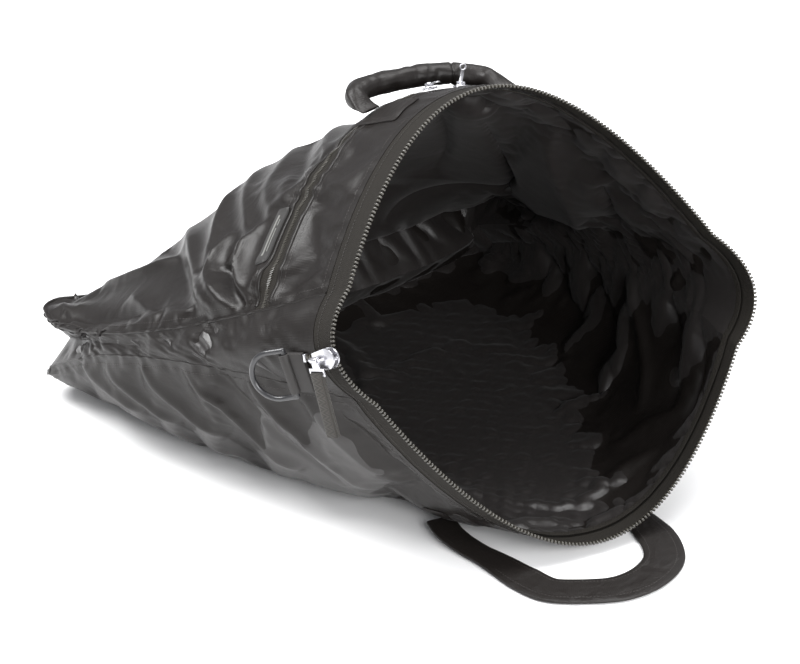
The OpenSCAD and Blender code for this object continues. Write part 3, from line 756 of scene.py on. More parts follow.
class EffectGroups:
    """Shader node groups that several finishes share, each built once."""

    made: dict[str, bpy.types.ShaderNodeTree] = {}

    @classmethod
    def _start(cls, name: str, inputs: dict[str, float], outputs: tuple[str, ...]
               ) -> tuple[bpy.types.ShaderNodeTree, NodeBench, bpy.types.Node, bpy.types.Node]:
        """An empty group with named number sockets, and its two end nodes."""
        tree = bpy.data.node_groups.new(name, "ShaderNodeTree")
        for socket, value in inputs.items():
            tree.interface.new_socket(socket, in_out="INPUT", socket_type="NodeSocketFloat"
                                      ).default_value = value
        for socket in outputs:
            tree.interface.new_socket(socket, in_out="OUTPUT", socket_type="NodeSocketFloat")
        bench = NodeBench(tree)
        cls.made[name] = tree
        return tree, bench, bench.add("NodeGroupInput"), bench.add("NodeGroupOutput")

    @classmethod
    def weave(cls) -> bpy.types.ShaderNodeTree:
        """Yarns along both UV directions: Height for bump, and Tone for thick and thin yarns."""
        if "weave" in cls.made:
            return cls.made["weave"]
        tree, b, start, end = cls._start("weave", {"Yarns": 900.0, "Slub": 0.5}, ("Height", "Tone"))
        uv = b.add("ShaderNodeUVMap", uv_map="cloth").outputs[0]
        split = b.add("ShaderNodeSeparateXYZ", {0: uv})
        turns = b.math("MULTIPLY", start.outputs["Yarns"], math.tau)
        warp = b.math("SINE", b.math("MULTIPLY", split.outputs[0], turns))
        weft = b.math("SINE", b.math("MULTIPLY", split.outputs[1], turns))
        grain = []
        for stretch in ((1500, 60, 1), (60, 1500, 1)):
            place = b.add("ShaderNodeVectorMath", {0: uv, 1: stretch}, operation="MULTIPLY").outputs[0]
            grain.append(b.add("ShaderNodeTexNoise", {"Vector": place, "Scale": 1.0, "Detail": 2.0}
                               ).outputs[0])
        slub = b.math("SUBTRACT", b.math("ADD", grain[0], grain[1]), 1.0)
        rib = b.math("MULTIPLY", b.math("ADD", warp, weft), 0.25)
        height = b.math("ADD", rib, b.math("MULTIPLY", slub, start.outputs["Slub"]))
        tree.links.new(height, end.inputs["Height"])
        tree.links.new(b.math("ADD", b.math("MULTIPLY", slub, 0.8), 0.5), end.inputs["Tone"])
        return tree

    @classmethod
    def herringbone(cls) -> bpy.types.ShaderNodeTree:
        """Zigzag ribs across a tape: Height, a slanted wave whose slant flips from row to row."""
        if "herringbone" in cls.made:
            return cls.made["herringbone"]
        tree, b, start, end = cls._start("herringbone", {"Rib": 0.0016, "Row": 0.0032}, ("Height",))
        split = b.add("ShaderNodeSeparateXYZ", {0: b.add("ShaderNodeUVMap", uv_map="cloth").outputs[0]})
        row = b.math("DIVIDE", split.outputs[1], start.outputs["Row"])
        zigzag = b.math("PINGPONG", row, 1.0)
        slant = b.math("ADD", b.math("DIVIDE", split.outputs[0], start.outputs["Rib"]),
                       b.math("MULTIPLY", zigzag, 1.2))
        wave = b.math("SINE", b.math("MULTIPLY", slant, math.tau))
        tree.links.new(b.math("ADD", b.math("MULTIPLY", wave, 0.5), 0.5), end.inputs["Height"])
        return tree

    @classmethod
    def crumple(cls) -> bpy.types.ShaderNodeTree:
        """Fine creases of worn cloth: Height with sharp ridges, and Wear, a broad soft patchiness."""
        if "crumple" in cls.made:
            return cls.made["crumple"]
        tree, b, start, end = cls._start("crumple", {"Scale": 30.0}, ("Height", "Wear"))
        where = b.add("ShaderNodeTexCoord").outputs["Object"]
        warp = b.add("ShaderNodeTexNoise", {"Vector": where, "Scale": 9.0, "Detail": 2.0}).outputs[1]
        moved = b.add("ShaderNodeVectorMath", {0: where, 1: b.add(
            "ShaderNodeVectorMath", {0: warp, 1: (0.12, 0.12, 0.12)}, operation="MULTIPLY").outputs[0]},
            operation="ADD").outputs[0]
        noise = b.add("ShaderNodeTexNoise", {"Vector": moved, "Scale": start.outputs["Scale"],
                                             "Detail": 3.0, "Roughness": 0.5}).outputs[0]
        ridge = b.math("SUBTRACT", 1.0, b.math("MULTIPLY", b.math("ABSOLUTE", b.math(
            "SUBTRACT", noise, 0.5)), 4.0))
        tree.links.new(b.math("MAXIMUM", ridge, 0.0), end.inputs["Height"])
        broad = b.add("ShaderNodeTexNoise", {"Vector": where, "Scale": 14.0, "Detail": 5.0}).outputs[0]
        tree.links.new(broad, end.inputs["Wear"])
        return tree


class Surface(Enum):
    """What covers a piece of cloth."""

    WOVEN = "woven"
    HERRINGBONE = "herringbone"


@dataclass(frozen=True)
class Cloth:
    """A textile finish."""

    name: str
    colour: tuple[float, float, float]
    worn: tuple[float, float, float]
    roughness: float
    surface: Surface = Surface.WOVEN
    yarns: float = 700.0
    weave_depth: float = 0.00012
    crease_depth: float = 0.0005
    crease_scale: float = 26.0
    sheen: float = 0.12
    specular: float = 0.5
    coat: float = 0.0

    def build(self) -> bpy.types.Material:
        """Makes the material: colour by wear and yarn, roughness by wear, creases and weave."""
        made = bpy.data.materials.new(self.name)
        made.use_nodes = True
        b = NodeBench(made.node_tree)
        made.node_tree.nodes.clear()
        crumple = b.add("ShaderNodeGroup", node_tree=EffectGroups.crumple())
        crumple.inputs["Scale"].default_value = self.crease_scale
        if self.surface is Surface.WOVEN:
            weave = b.add("ShaderNodeGroup", node_tree=EffectGroups.weave())
            weave.inputs["Yarns"].default_value = self.yarns
            tone = weave.outputs["Tone"]
        else:
            weave = b.add("ShaderNodeGroup", node_tree=EffectGroups.herringbone())
            tone = weave.outputs["Height"]
        share = b.math("MULTIPLY", b.math("ADD", b.math("MULTIPLY", tone, 0.7),
                                          b.math("MULTIPLY", crumple.outputs["Wear"], 0.6)), 0.75)
        colour = b.add("ShaderNodeMix", {"Factor": share}, data_type="RGBA")
        colour.inputs[6].default_value = (*self.colour, 1)
        colour.inputs[7].default_value = (*self.worn, 1)
        rough = b.math("ADD", self.roughness - 0.06, b.math("MULTIPLY", crumple.outputs["Wear"], 0.12))
        fine = b.add("ShaderNodeBump", {"Height": weave.outputs["Height"], "Strength": 0.7,
                                        "Distance": self.weave_depth})
        creased = b.add("ShaderNodeBump", {"Height": crumple.outputs["Height"], "Strength": 0.6,
                                           "Distance": self.crease_depth, "Normal": fine.outputs[0]})
        shader = b.add("ShaderNodeBsdfPrincipled", {
            "Base Color": colour.outputs[2], "Roughness": rough, "Normal": creased.outputs[0],
            "Sheen Weight": self.sheen, "Sheen Roughness": 0.45, "Specular IOR Level": self.specular,
            "Coat Weight": self.coat, "Coat Roughness": 0.3})
        out = b.add("ShaderNodeOutputMaterial")
        made.node_tree.links.new(shader.outputs[0], out.inputs[0])
        return made


@dataclass(frozen=True)
class Solid:
    """A metal, plastic or rubber finish."""

    name: str
    colour: tuple[float, float, float]
    roughness: float
    metallic: float = 0.0
    grain: float = 900.0
    depth: float = 0.00003
    coat: float = 0.0

    def build(self) -> bpy.types.Material:
        """Makes the material: fine grain in bump and roughness, and a little colour variation."""
        made = bpy.data.materials.new(self.name)
        made.use_nodes = True
        b = NodeBench(made.node_tree)
        made.node_tree.nodes.clear()
        where = b.add("ShaderNodeTexCoord").outputs["Object"]
        grain = b.add("ShaderNodeTexNoise", {"Vector": where, "Scale": self.grain, "Detail": 3.0}
                      ).outputs[0]
        patch = b.add("ShaderNodeTexNoise", {"Vector": where, "Scale": 120.0, "Detail": 4.0}).outputs[0]
        colour = b.add("ShaderNodeMix", {"Factor": patch}, data_type="RGBA")
        colour.inputs[6].default_value = (*(c * 0.82 for c in self.colour), 1)
        colour.inputs[7].default_value = (*(min(1, c * 1.15) for c in self.colour), 1)
        rough = b.math("ADD", self.roughness - 0.05, b.math("MULTIPLY", patch, 0.12))
        bump = b.add("ShaderNodeBump", {"Height": grain, "Strength": 0.5, "Distance": self.depth})
        shader = b.add("ShaderNodeBsdfPrincipled", {
            "Base Color": colour.outputs[2], "Roughness": rough, "Normal": bump.outputs[0],
            "Metallic": self.metallic, "Coat Weight": self.coat, "Coat Roughness": 0.2})
        out = b.add("ShaderNodeOutputMaterial")
        made.node_tree.links.new(shader.outputs[0], out.inputs[0])
        return made


SHELL = Cloth("shell_nylon_taffeta", (0.0065, 0.0054, 0.0048), (0.0145, 0.0121, 0.0109), 0.37, sheen=0.0,
              specular=0.26)
LINING = Cloth("lining_satin_nylon", (0.010, 0.0088, 0.0085), (0.022, 0.0190, 0.0180), 0.36, yarns=900,
               weave_depth=0.00008, crease_depth=0.0005, crease_scale=20.0, sheen=0.05, specular=0.5)
TAPE = Cloth("zip_tape_herringbone", (0.006, 0.0052, 0.0044), (0.024, 0.021, 0.017), 0.75,
             surface=Surface.HERRINGBONE, weave_depth=0.0003, crease_depth=0.0001, sheen=0.0,
             specular=0.2)
RIBBON = Cloth("pull_ribbon_herringbone", (0.010, 0.009, 0.008), (0.050, 0.045, 0.038), 0.7,
               surface=Surface.HERRINGBONE, weave_depth=0.0003, crease_depth=0.0001, specular=0.3)
WEBBING = Cloth("handle_nylon", (0.0075, 0.0062, 0.0056), (0.0160, 0.0134, 0.0122), 0.42, yarns=600,
                crease_depth=0.0007, crease_scale=42.0, sheen=0.0, specular=0.26)
LOOP = Solid("loop_nylon", (0.020, 0.0178, 0.0168), 0.6, grain=1400.0, depth=0.0001)
THREAD = Solid("polyester_thread", (0.035, 0.031, 0.029), 0.5, depth=0.00005)
TEETH = Solid("moulded_teeth", (0.050, 0.046, 0.038), 0.26, coat=0.3)
NICKEL = Solid("satin_nickel", (0.60, 0.60, 0.63), 0.30, metallic=1.0)
BLACKENED = Solid("black_enamel", (0.020, 0.020, 0.022), 0.30, coat=0.4)
RUBBER = Solid("label_rubber", (0.022, 0.021, 0.020), 0.62)
MARKS = Solid("label_marks", (0.16, 0.16, 0.15), 0.55)


class Wardrobe:
    """Builds each finish once and puts it on pieces."""

    def __init__(self) -> None:
        """Starts with nothing built."""
        self.built: dict[str, bpy.types.Material] = {}

    def dress(self, piece: bpy.types.Object, finish: Cloth | Solid) -> bpy.types.Object:
        """Gives a piece a finish and returns the piece."""
        if finish.name not in self.built:
            self.built[finish.name] = finish.build()
        piece.data.materials.clear()
        piece.data.materials.append(self.built[finish.name])
        return piece


WARDROBE = Wardrobe()


def place(piece: bpy.types.Object, finish: Cloth | Solid, slot: str, body: str = "bag",
          stands_for: tuple[str, ...] = ()) -> bpy.types.Object:
    """Dresses a piece, rides it on a body, and hides the parts that it stands for."""
    WARDROBE.dress(piece, finish)
    if stands_for:
        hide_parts(*stands_for)
    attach(piece, body)
    LOG.info("%s: %d faces", piece.name, len(piece.data.polygons))
    return piece


def joint_axis(name: str) -> np.ndarray:
    """The axis of a packed joint."""
    joints = frame["record"]["behaviour"]["joints"]
    return np.array(next(j["axis"] for j in joints if j["name"] == name))


def along_frames(path: np.ndarray, normals: np.ndarray, pitch: float
                 ) -> tuple[np.ndarray, np.ndarray]:
    """Evenly spaced places on a path, with frames: x along it, z near the given normals."""
    length = np.linalg.norm(np.diff(path, axis=0), axis=1).sum()
    count = max(2, int(length / pitch))
    both = np.concatenate([path, normals], axis=1)
    run = np.concatenate([[0], np.cumsum(np.linalg.norm(np.diff(path, axis=0), axis=1))])
    want = (np.arange(count) + 0.5) / count * length
    mixed = np.stack([np.interp(want, run, both[:, k]) for k in range(6)], -1)
    spots, up = mixed[:, :3], mixed[:, 3:]
    ahead = unit(np.gradient(spots, axis=0))
    side = unit(np.cross(up, ahead))
    return spots, np.stack([ahead, side, unit(np.cross(ahead, side))], axis=1)


# ---- the sewn body ----
@dataclass
class SewnBody:
    """Panels, gusset and lining as layers of cloth between two depths."""

    cloth: Surfaces
    shell_depth: tuple[float, float] = (0.0, 0.0012)
    back_depth: tuple[float, float] = (0.0, 0.0025)
    under_depth: tuple[float, float] = (0.0013, 0.0025)
    lining_depth: tuple[float, float] = (0.0029, 0.0037)
    pocket_stations: tuple[float, float] = (0.82, 0.85)
    tape_station: float = 0.965
    stitch_pitch: float = 0.0032

    def __post_init__(self) -> None:
        """Finds the rows where the layers end, and shared normals for shell and lining."""
        self.pocket_row, self.band_row = (self._row_at(s) for s in self.pocket_stations)
        self.tape_row = self._row_at(self.tape_station)
        self.normals = self._shared_normals(self.cloth.shell)
        self.inner_normals = self._shared_normals(self.cloth.inner)

    def _row_at(self, station: float) -> int:
        """The grid row nearest to a station."""
        return int(round(station * (self.cloth.rows - 1)))

    @staticmethod
    def _shared_normals(grids: dict[str, np.ndarray]) -> dict[str, np.ndarray]:
        """Normals whose values agree where a panel and the gusset share a seam."""
        made = {k: grid_normals(g, 1 if k == "back" else -1) for k, g in grids.items()}
        for key, column in (("front", 0), ("back", -1)):
            n = made[key]
            mean = unit(border(n) + made["gusset"][:, column])
            rows, cols = n.shape[:2]
            corner = rows + cols - 1
            n[::-1, 0], n[0, 1:], n[1:, -1] = mean[:rows], mean[rows:corner], mean[corner:]
            made["gusset"][:, column] = mean
        return made

    def _layer(self, name: str, key: str, part: tuple[slice, slice], depth: tuple[float, float],
               inner: bool = False) -> bpy.types.Object:
        """A slab of cloth: part of a grid between two depths under its outer face."""
        grids = self.cloth.inner if inner else self.cloth.shell
        normals = self.inner_normals if inner else self.normals
        grid, n = grids[key][part], normals[key][part]
        return slab(name, grid - depth[0] * n, grid - depth[1] * n)

    def build(self) -> None:
        """Makes every cloth layer of the body."""
        every = slice(None)
        tape, last = self.tape_row + 1, self.cloth.rows - 1
        rows, cols = self.cloth.rows, self.cloth.cols
        cut = rows - tape
        right, left = slice(cut, rows), slice(rows + cols - 2, 2 * rows + cols - 2 - cut)
        bottom = slice(rows - 1, rows + cols - 1)
        shell = (
            ("pocket_cloth", "front", (slice(0, self.pocket_row + 1), every), self.shell_depth,
             "pocket_panel"),
            ("front_band_cloth", "front", (slice(self.band_row, tape), every), self.shell_depth,
             "front_band"),
            ("front_under_cloth", "front", (slice(0, tape), every), self.under_depth, "front_panel"),
            ("back_cloth", "back", (slice(0, tape), every), self.back_depth, "back_panel"),
            ("right_gusset_cloth", "gusset", (right, every), self.back_depth, "right_gusset"),
            ("bottom_gusset_cloth", "gusset", (bottom, every), self.back_depth, "bottom_gusset"),
            ("left_gusset_cloth", "gusset", (left, every), self.back_depth, "left_gusset"),
        )
        for name, key, part, depth, node in shell:
            self._sheet(self._layer(name, key, part, depth), SHELL, "shell_nylon", node)
        lining = (
            ("front_lining_cloth", "front", (slice(0, tape), every), "front_lining"),
            ("back_lining_cloth", "back", (slice(0, tape), every), "back_lining"),
            ("right_lining_cloth", "gusset", (right, every), "right_gusset_lining"),
            ("bottom_lining_cloth", "gusset", (bottom, every), "bottom_gusset_lining"),
            ("left_lining_cloth", "gusset", (left, every), "left_gusset_lining"),
        )
        for name, key, part, node in lining:
            piece = self._layer(name, key, part, self.lining_depth, inner=True)
            self._sheet(piece, LINING, "lining_satin", node)

    def _sheet(self, piece: bpy.types.Object, finish: Cloth, slot: str, node: str) -> None:
        place(piece, finish, slot, stands_for=(node,))

    def line(self, key: str, row: object, col: object, lift: float = 0.0
             ) -> tuple[np.ndarray, np.ndarray]:
        """A line of grid points and its normals, lifted off the cloth."""
        path, n = self.cloth.shell[key][row, col], self.normals[key][row, col]
        return path + lift * n, n


# ---- zips, labels, handles and metal ----
def millimetres(run: tuple[tuple[float, float, float], ...]) -> np.ndarray:
    """A given run of points in millimetres, as an array in metres."""
    return np.array(run) / 1000


# Given centre lines of the two handles, in the shape's own millimetres.
GRIP_RUN = ((260, -36, 340.3), (248, -39, 342.5), (236, -37, 345), (228, -24, 346), (223, 0, 344.5),
            (222, 28, 342.5), (224, 56, 340.5), (231, 77, 338), (243, 91, 336.2), (257, 98, 334.3),
            (269, 100.5, 332.75))
STRAP_RUN = ((412, -60, 10.5), (432, -62, 7.2), (456, -58, 4), (486, -50, 2.4), (520, -44, 2.1),
             (547, -35, 2.1), (566, -8, 2.1), (577, 20, 2.1), (574, 50, 2.1), (559, 76, 2.1),
             (532, 91, 2.1), (498, 97, 1.9), (462, 98, 1.8))
UP = np.array([0.0, 0.0, 1.0])


@dataclass(frozen=True)
class Patch:
    """A patch under a handle's end: where it lies on its panel, how thick it is, and its slot."""

    node: str
    panel: Panel
    shares: tuple[float, float]
    stations: tuple[float, float]
    top: float
    slot: str


PATCHES = (
    Patch("front_patch_right", Panel.FRONT, (0.345, 0.405), (0.80, 0.92), 0.0026, "handle_nylon"),
    Patch("front_patch_left", Panel.FRONT, (0.595, 0.655), (0.80, 0.92), 0.0026, "handle_nylon"),
    Patch("back_patch_right", Panel.BACK, (0.33, 0.39), (0.74, 0.86), 0.0020, "webbing"),
    Patch("back_patch_left", Panel.BACK, (0.62, 0.68), (0.84, 0.94), 0.0020, "webbing"),
)
# Pieces that keep their own solid: finish and width of the rounded edges.
HARDWARE = {
    "main_slider": (NICKEL, 0.0005), "main_pull": (NICKEL, 0.0004),
    "right_end_stop": (NICKEL, 0.0003), "left_end_stop": (NICKEL, 0.0003),
    "right_d_ring": (BLACKENED, 0.0), "left_d_ring": (BLACKENED, 0.0),
    "right_ring_loop": (LOOP, 0.0004), "left_ring_loop": (LOOP, 0.0004),
    "pocket_slider_right": (NICKEL, 0.0003), "pocket_slider_left": (NICKEL, 0.0003),
    "pocket_pull_right": (NICKEL, 0.0003), "pocket_pull_left": (NICKEL, 0.0003),
}


@dataclass
class Trim:
    """Everything sewn to the body: zips, stitching, patches, label, handles, rings and pulls."""

    body: SewnBody
    tape_depth: tuple[float, float] = (0.0005, 0.0017)
    tooth_pitch: float = 0.0035
    tooth_reach: float = 0.0016
    tooth_depth: float = 0.0011
    closed_pitch: float = 0.00175
    closed_swing: float = 0.0007
    coil_pitch: float = 0.0015
    coil_depth: float = 0.0003
    pocket_tape_depth: tuple[float, float] = (0.0004, 0.0012)
    welt: tuple[float, float] = (0.0042, 0.0022)
    binding: tuple[float, float] = (0.0070, 0.0010)
    binding_depth: float = 0.0040
    base_lift: float = 0.0003

    def __post_init__(self) -> None:
        """Keeps short names for the grids, their normals and the shape's centre."""
        self.cloth = self.body.cloth
        self.shell, self.normals = self.cloth.shell, self.body.normals
        self.centre = np.array(self.cloth.shape.centre)

    def build(self) -> None:
        """Makes every piece of trim."""
        for panel in Panel:
            self._half_zip(panel)
        self._closed_teeth()
        self._pocket_zip()
        self._seams()
        for patch in PATCHES:
            self._patch(patch)
        self._label()
        self._front_handle()
        self._back_handle()
        self._ribbon()
        self._hardware()

    @staticmethod
    def _as_sheet(piece: bpy.types.Object, grid: np.ndarray) -> None:
        """Takes a piece and a grid and does nothing with them."""

    # -- the main zip --
    def _rim(self, grids: dict[str, np.ndarray], row: int, panel: Panel) -> np.ndarray:
        """One line round half of the mouth, from the right end of the zip to the left end."""
        back = self.cloth.rows - 1 - row
        right, left = grids["gusset"][back], grids["gusset"][-1 - back]
        half = (right.shape[0] - 1) // 2
        if panel is Panel.FRONT:
            return np.concatenate([right[half:0:-1], grids["front"][row], left[1:half + 1]])
        return np.concatenate([right[half:-1], grids["back"][row], left[-2:half - 1:-1]])

    def _half_zip(self, panel: Panel) -> None:
        """One half of the main zip: its tape, single teeth, inner binding and stitches."""
        key = panel.value
        rows = range(self.body.tape_row, self.cloth.rows)
        grid = np.stack([self._rim(self.shell, r, panel) for r in rows])
        n = np.stack([self._rim(self.normals, r, panel) for r in rows])
        tape = slab(f"{key}_zip_tape", grid - self.tape_depth[0] * n, grid - self.tape_depth[1] * n)
        place(tape, TAPE, "zip_tape", stands_for=(f"{key}_tape",))
        self._as_sheet(tape, grid)
        edge = grid[-1] + self.tooth_reach * unit(grid[-1] - grid[-3]) - self.tooth_depth * n[-1]
        tooth = bead(0.00115, 0.0020, 0.0016, 0.55, 8, 4)
        teeth = copies(f"{key}_zip_teeth", tooth, *along_frames(edge, n[-1], self.tooth_pitch))
        place(teeth, TEETH, "zip_teeth", stands_for=(f"{key}_teeth",))
        shares = np.linspace(0, 1, 260)
        path = resample((grid[0] - self.binding_depth * n[0])[None], shares)[0]
        width, thick = (np.array(v) for v in self.binding)
        strip = tube(f"{key}_inner_binding", path, unit(resample(n[0][None], shares)[0]), width,
                     thick, 0.4, 10)
        place(strip, TAPE, "zip_tape")
        self._stitches(f"{key}_zip_stitches", grid[2], n[2])

    def _closed_teeth(self) -> None:
        """The short closed stretch past the slider: two rows of teeth that alternate."""
        low, high = (np.array(corner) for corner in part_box("tail_teeth"))
        axis = joint_axis("main_slider_slide")
        reach = (high - low)[0] / abs(axis[0]) / 2
        up = unit(np.array([0.0, -1.0, 0.0]) + axis[1] * axis)
        side = unit(np.cross(up, axis))
        end = reach - 0.0012
        line = np.linspace(-end, end, max(4, int(2 * reach / self.closed_pitch)))
        swing = np.where(np.arange(len(line)) % 2, self.closed_swing, -self.closed_swing)
        spots = (low + high) / 2 + line[:, None] * axis + swing[:, None] * side
        axes = np.broadcast_to(np.stack([axis, side, up]), (len(line), 3, 3))
        teeth = copies("closed_zip_teeth", bead(0.0008, 0.0022, 0.0015, 0.55, 8, 4), spots, axes)
        place(teeth, TEETH, "zip_teeth", stands_for=("tail_teeth",))

    # -- the pocket zip --
    def _pocket_zip(self) -> None:
        """A coil zip across the front between two folded edges of cloth."""
        low, top = self.body.pocket_row, self.body.band_row
        rows = slice(low, top + 1)
        grid, n = self.shell["front"][rows], self.normals["front"][rows]
        over, under = self.pocket_tape_depth
        tape = place(slab("pocket_zip_tape", grid - over * n, grid - under * n), TAPE, "zip_tape",
                     stands_for=("pocket_tape",))
        self._as_sheet(tape, self.cloth.base[Panel.FRONT][rows])
        middle, up = grid[len(grid) // 2], n[len(grid) // 2]
        turns = along_frames(middle - self.coil_depth * up, up, self.coil_pitch)
        coil = copies("pocket_zip_coil", bead(0.00062, 0.0021, 0.0010, 0.7, 8, 3), *turns)
        place(coil, TEETH, "zip_teeth", stands_for=("pocket_coil",))
        width, thick = (np.array(v) for v in self.welt)
        for name, row in (("pocket_welt", low), ("band_welt", top)):
            path, up = self.body.line("front", row, slice(2, -2), -0.0002)
            place(tube(name, path, up, width, thick, 0.8, 10), SHELL, "shell_nylon")

    # -- stitching --
    def _stitches(self, name: str, path: np.ndarray, normals: np.ndarray) -> None:
        """A row of stitches, half sunk into the cloth."""
        spots, axes = along_frames(path, normals, self.body.stitch_pitch)
        place(copies(name, bead(0.0012, 0.00028, 0.00026, 0.8, 6, 2), spots, axes), THREAD, "thread")

    def _seams(self) -> None:
        """Topstitching beside the zips and the gusset seams, and the ridges of both seams."""
        tape, low, top = self.body.tape_row, self.body.pocket_row, self.body.band_row
        across, along = slice(2, -2), slice(2, tape)
        for name, key, row, col in (
                ("rim_stitches_front", "front", tape - 2, across),
                ("rim_stitches_back", "back", tape - 2, across),
                ("pocket_stitches", "front", low - 2, across),
                ("band_stitches", "front", top + 2, across),
                ("right_front_stitches", "front", along, 3),
                ("left_front_stitches", "front", along, -4),
                ("end_front_stitches", "front", 3, slice(3, -3)),
                ("right_back_stitches", "back", along, 3),
                ("left_back_stitches", "back", along, -4)):
            self._stitches(name, *self.body.line(key, row, col, 0.0001))
        cut = self.cloth.rows - 1 - tape
        run = slice(cut, len(self.shell["gusset"]) - cut)
        for name, column, wide in (("front_seam_ridge", 0, 0.0034), ("back_seam_ridge", -1, 0.0026)):
            path, n = self.body.line("gusset", run, column, -0.0006)
            ridge = tube(name, path, n, np.array(wide), np.array(wide), 1.0, 10)
            place(ridge, SHELL, "shell_nylon")

    # -- patches and label --
    def _spread(self, panel: Panel, shares: tuple[float, float], span: tuple[float, float],
                rows: int, cols: int) -> tuple[np.ndarray, np.ndarray]:
        """Points and normals of a fine grid between two shares and two stations of a panel."""
        last_row, last_col = self.cloth.rows - 1, self.cloth.cols - 1
        places = (np.linspace(*span, rows) * last_row, np.linspace(*shares, cols) * last_col)
        grid = enlarge(self.shell[panel.value], *places)
        return grid, unit(enlarge(self.normals[panel.value], *places))

    def _patch(self, patch: Patch) -> None:
        """One patch of cloth with thin edges and a stitched box."""
        rows, cols = 25, 15
        grid, n = self._spread(patch.panel, patch.shares, patch.stations, rows, cols)
        share = np.ones((rows, cols))
        share[[0, -1]] = share[:, [0, -1]] = 0.45
        high = np.maximum(patch.top * share, self.base_lift + 0.0004)[..., None]
        piece = slab(f"{patch.node}_cloth", grid + high * n, grid + self.base_lift * n)
        place(piece, WEBBING, patch.slot, stands_for=(patch.node,))
        self._as_sheet(piece, grid)
        ring, up = (np.concatenate([g[2, 2:-2], g[2:-2, -3], g[-3, -3:2:-1], g[-3:2:-1, 2]])
                    for g in (grid, n))
        self._stitches(f"{patch.node}_stitches", ring + patch.top * up, up)

    def _label(self) -> None:
        """A rounded rubber plate with a raised rim and three plain bars.

        The corner field is the distance past an inner rectangle, over the corner's radius. The
        plate's height falls off with it at the edge, and the rim is a Gaussian of it.
        """
        shares, span = (0.08, 0.18), (0.79, 0.815)
        grid, n = self._spread(Panel.FRONT, shares, span, 21, 49)
        long, short, radius = 2.3, 1.0, 0.4
        u, v = np.meshgrid(np.linspace(-long, long, 49), np.linspace(-short, short, 21))
        corner = np.hypot(np.maximum(np.abs(u) - (long - radius), 0),
                          np.maximum(np.abs(v) - (short - radius), 0)) / radius
        edge = np.clip((1 - corner) * 4, 0, 1)
        rim = np.exp(-((corner - 0.62) / 0.14) ** 2)
        high = 0.0006 + 0.0012 * np.sqrt(edge) + 0.0004 * rim
        drawn_in = 0.10 * np.clip(corner - 1, 0, 1)[..., None]
        grid = grid + (grid.mean(axis=(0, 1)) - grid) * drawn_in
        plate = slab("label_plate", grid + high[..., None] * n, grid + self.base_lift * n, 40)
        place(plate, RUBBER, "label_rubber", stands_for=("label",))
        bars = (((0.30, 0.44), (0.14, 0.86)), ((0.58, 0.66), (0.22, 0.62)), ((0.58, 0.66), (0.67, 0.78)))
        for number, (down, across) in enumerate(bars, 1):
            stations = tuple(span[0] + (span[1] - span[0]) * s for s in down)
            places = tuple(shares[0] + (shares[1] - shares[0]) * s for s in across)
            bar, up = self._spread(Panel.FRONT, places, stations, 4, 24)
            mark = slab(f"label_bar_{number}", bar + 0.0021 * up, bar + 0.0016 * up)
            place(mark, MARKS, "label_rubber")

    # -- handles --
    def _front_handle(self) -> None:
        """A padded tube of creased cloth whose ends run out flat onto the patches."""
        count, around = 220, 40
        path = spline(millimetres(GRIP_RUN) - self.centre, count)
        s = np.linspace(0, 1, count)
        fat = smooth_step(np.minimum(s, 1 - s) / 0.13)
        angle = 2 * np.pi * np.arange(around) / around
        folds = (0.5 * soft_noise((count, around), (16, 7), 5)
                 + 0.5 * soft_noise((count, around), (34, 9), 9))
        folds[:, -6:] = folds[:, -6:] * np.linspace(1, 0, 6) + folds[:, :1] * np.linspace(0, 1, 6)
        cross_seam = 1.3 * np.exp(-((s - 0.70) / 0.006) ** 2)[:, None]
        long_seam = 0.7 * np.exp(-((np.sin((angle - 0.6) / 2)) / 0.06) ** 2)[None]
        extra = 0.001 * (fat[:, None] * (1.1 * folds + 0.9 - cross_seam + long_seam))
        piece = tube("front_grip", path, UP, 0.022 + (0.018 - 0.022) * fat,
                     0.0026 + (0.018 - 0.0026) * fat, 1.0, around, 60, extra)
        self._root(piece, "front_handle")

    def _back_handle(self) -> None:
        """A flat folded strap that lies on the ground, with two lines of stitches along it."""
        count, around = 260, 32
        path = spline(millimetres(STRAP_RUN) - self.centre, count)
        width = np.minimum(0.036, 0.026 + np.maximum(0, path[:, 0] + self.centre[0] - 0.470) / 5)
        ripple = 0.0002 * np.abs(soft_noise((count, around), (26, 3), 12))
        piece = tube("back_strap", path + 0.0002 * UP, UP, width, np.array(0.0030), 0.35, around, 50,
                     ripple)
        self._root(piece, "back_handle")
        _, side, up = frames_along(path, np.broadcast_to(UP, path.shape))
        free = slice(60, 250)
        for name, share in (("strap_stitches_outer", 0.36), ("strap_stitches_inner", -0.30)):
            line = path[free] + side[free] * (width[free, None] * share) + up[free] * 0.0017
            spots, axes = along_frames(line, up[free], self.body.stitch_pitch)
            row = copies(name, bead(0.0012, 0.00032, 0.00028, 0.8, 6, 2), spots, axes)
            place(row, THREAD, "thread", body="back_handle")

    def _root(self, piece: bpy.types.Object, node: str) -> None:
        """Dresses a handle, hides the part that it stands for, and bakes its transform into its points.
        """
        WARDROBE.dress(piece, WEBBING)
        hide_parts(node)
        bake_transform(piece)

    def _ribbon(self) -> None:
        """The woven ribbon on the pull, along the three main directions of its solid."""
        node = bpy.data.objects["pull_ribbon"]
        points = np.array([node.matrix_world @ v.co for v in node.data.vertices])
        middle = (points.min(0) + points.max(0)) / 2
        _, _, axes = np.linalg.svd(points - points.mean(0), full_matrices=False)
        length, width, thick = (float(np.ptp((points - middle) @ a)) for a in axes)
        s = np.linspace(-0.5, 0.5, 60)
        path = middle + s[:, None] * length * axes[0] * 0.99
        piece = tube("ribbon_pull", path, axes[2], np.array(width), np.array(max(thick, 0.0012)),
                     0.3, 16)
        place(piece, RIBBON, "zip_tape", body="pull_ribbon", stands_for=("pull_ribbon",))

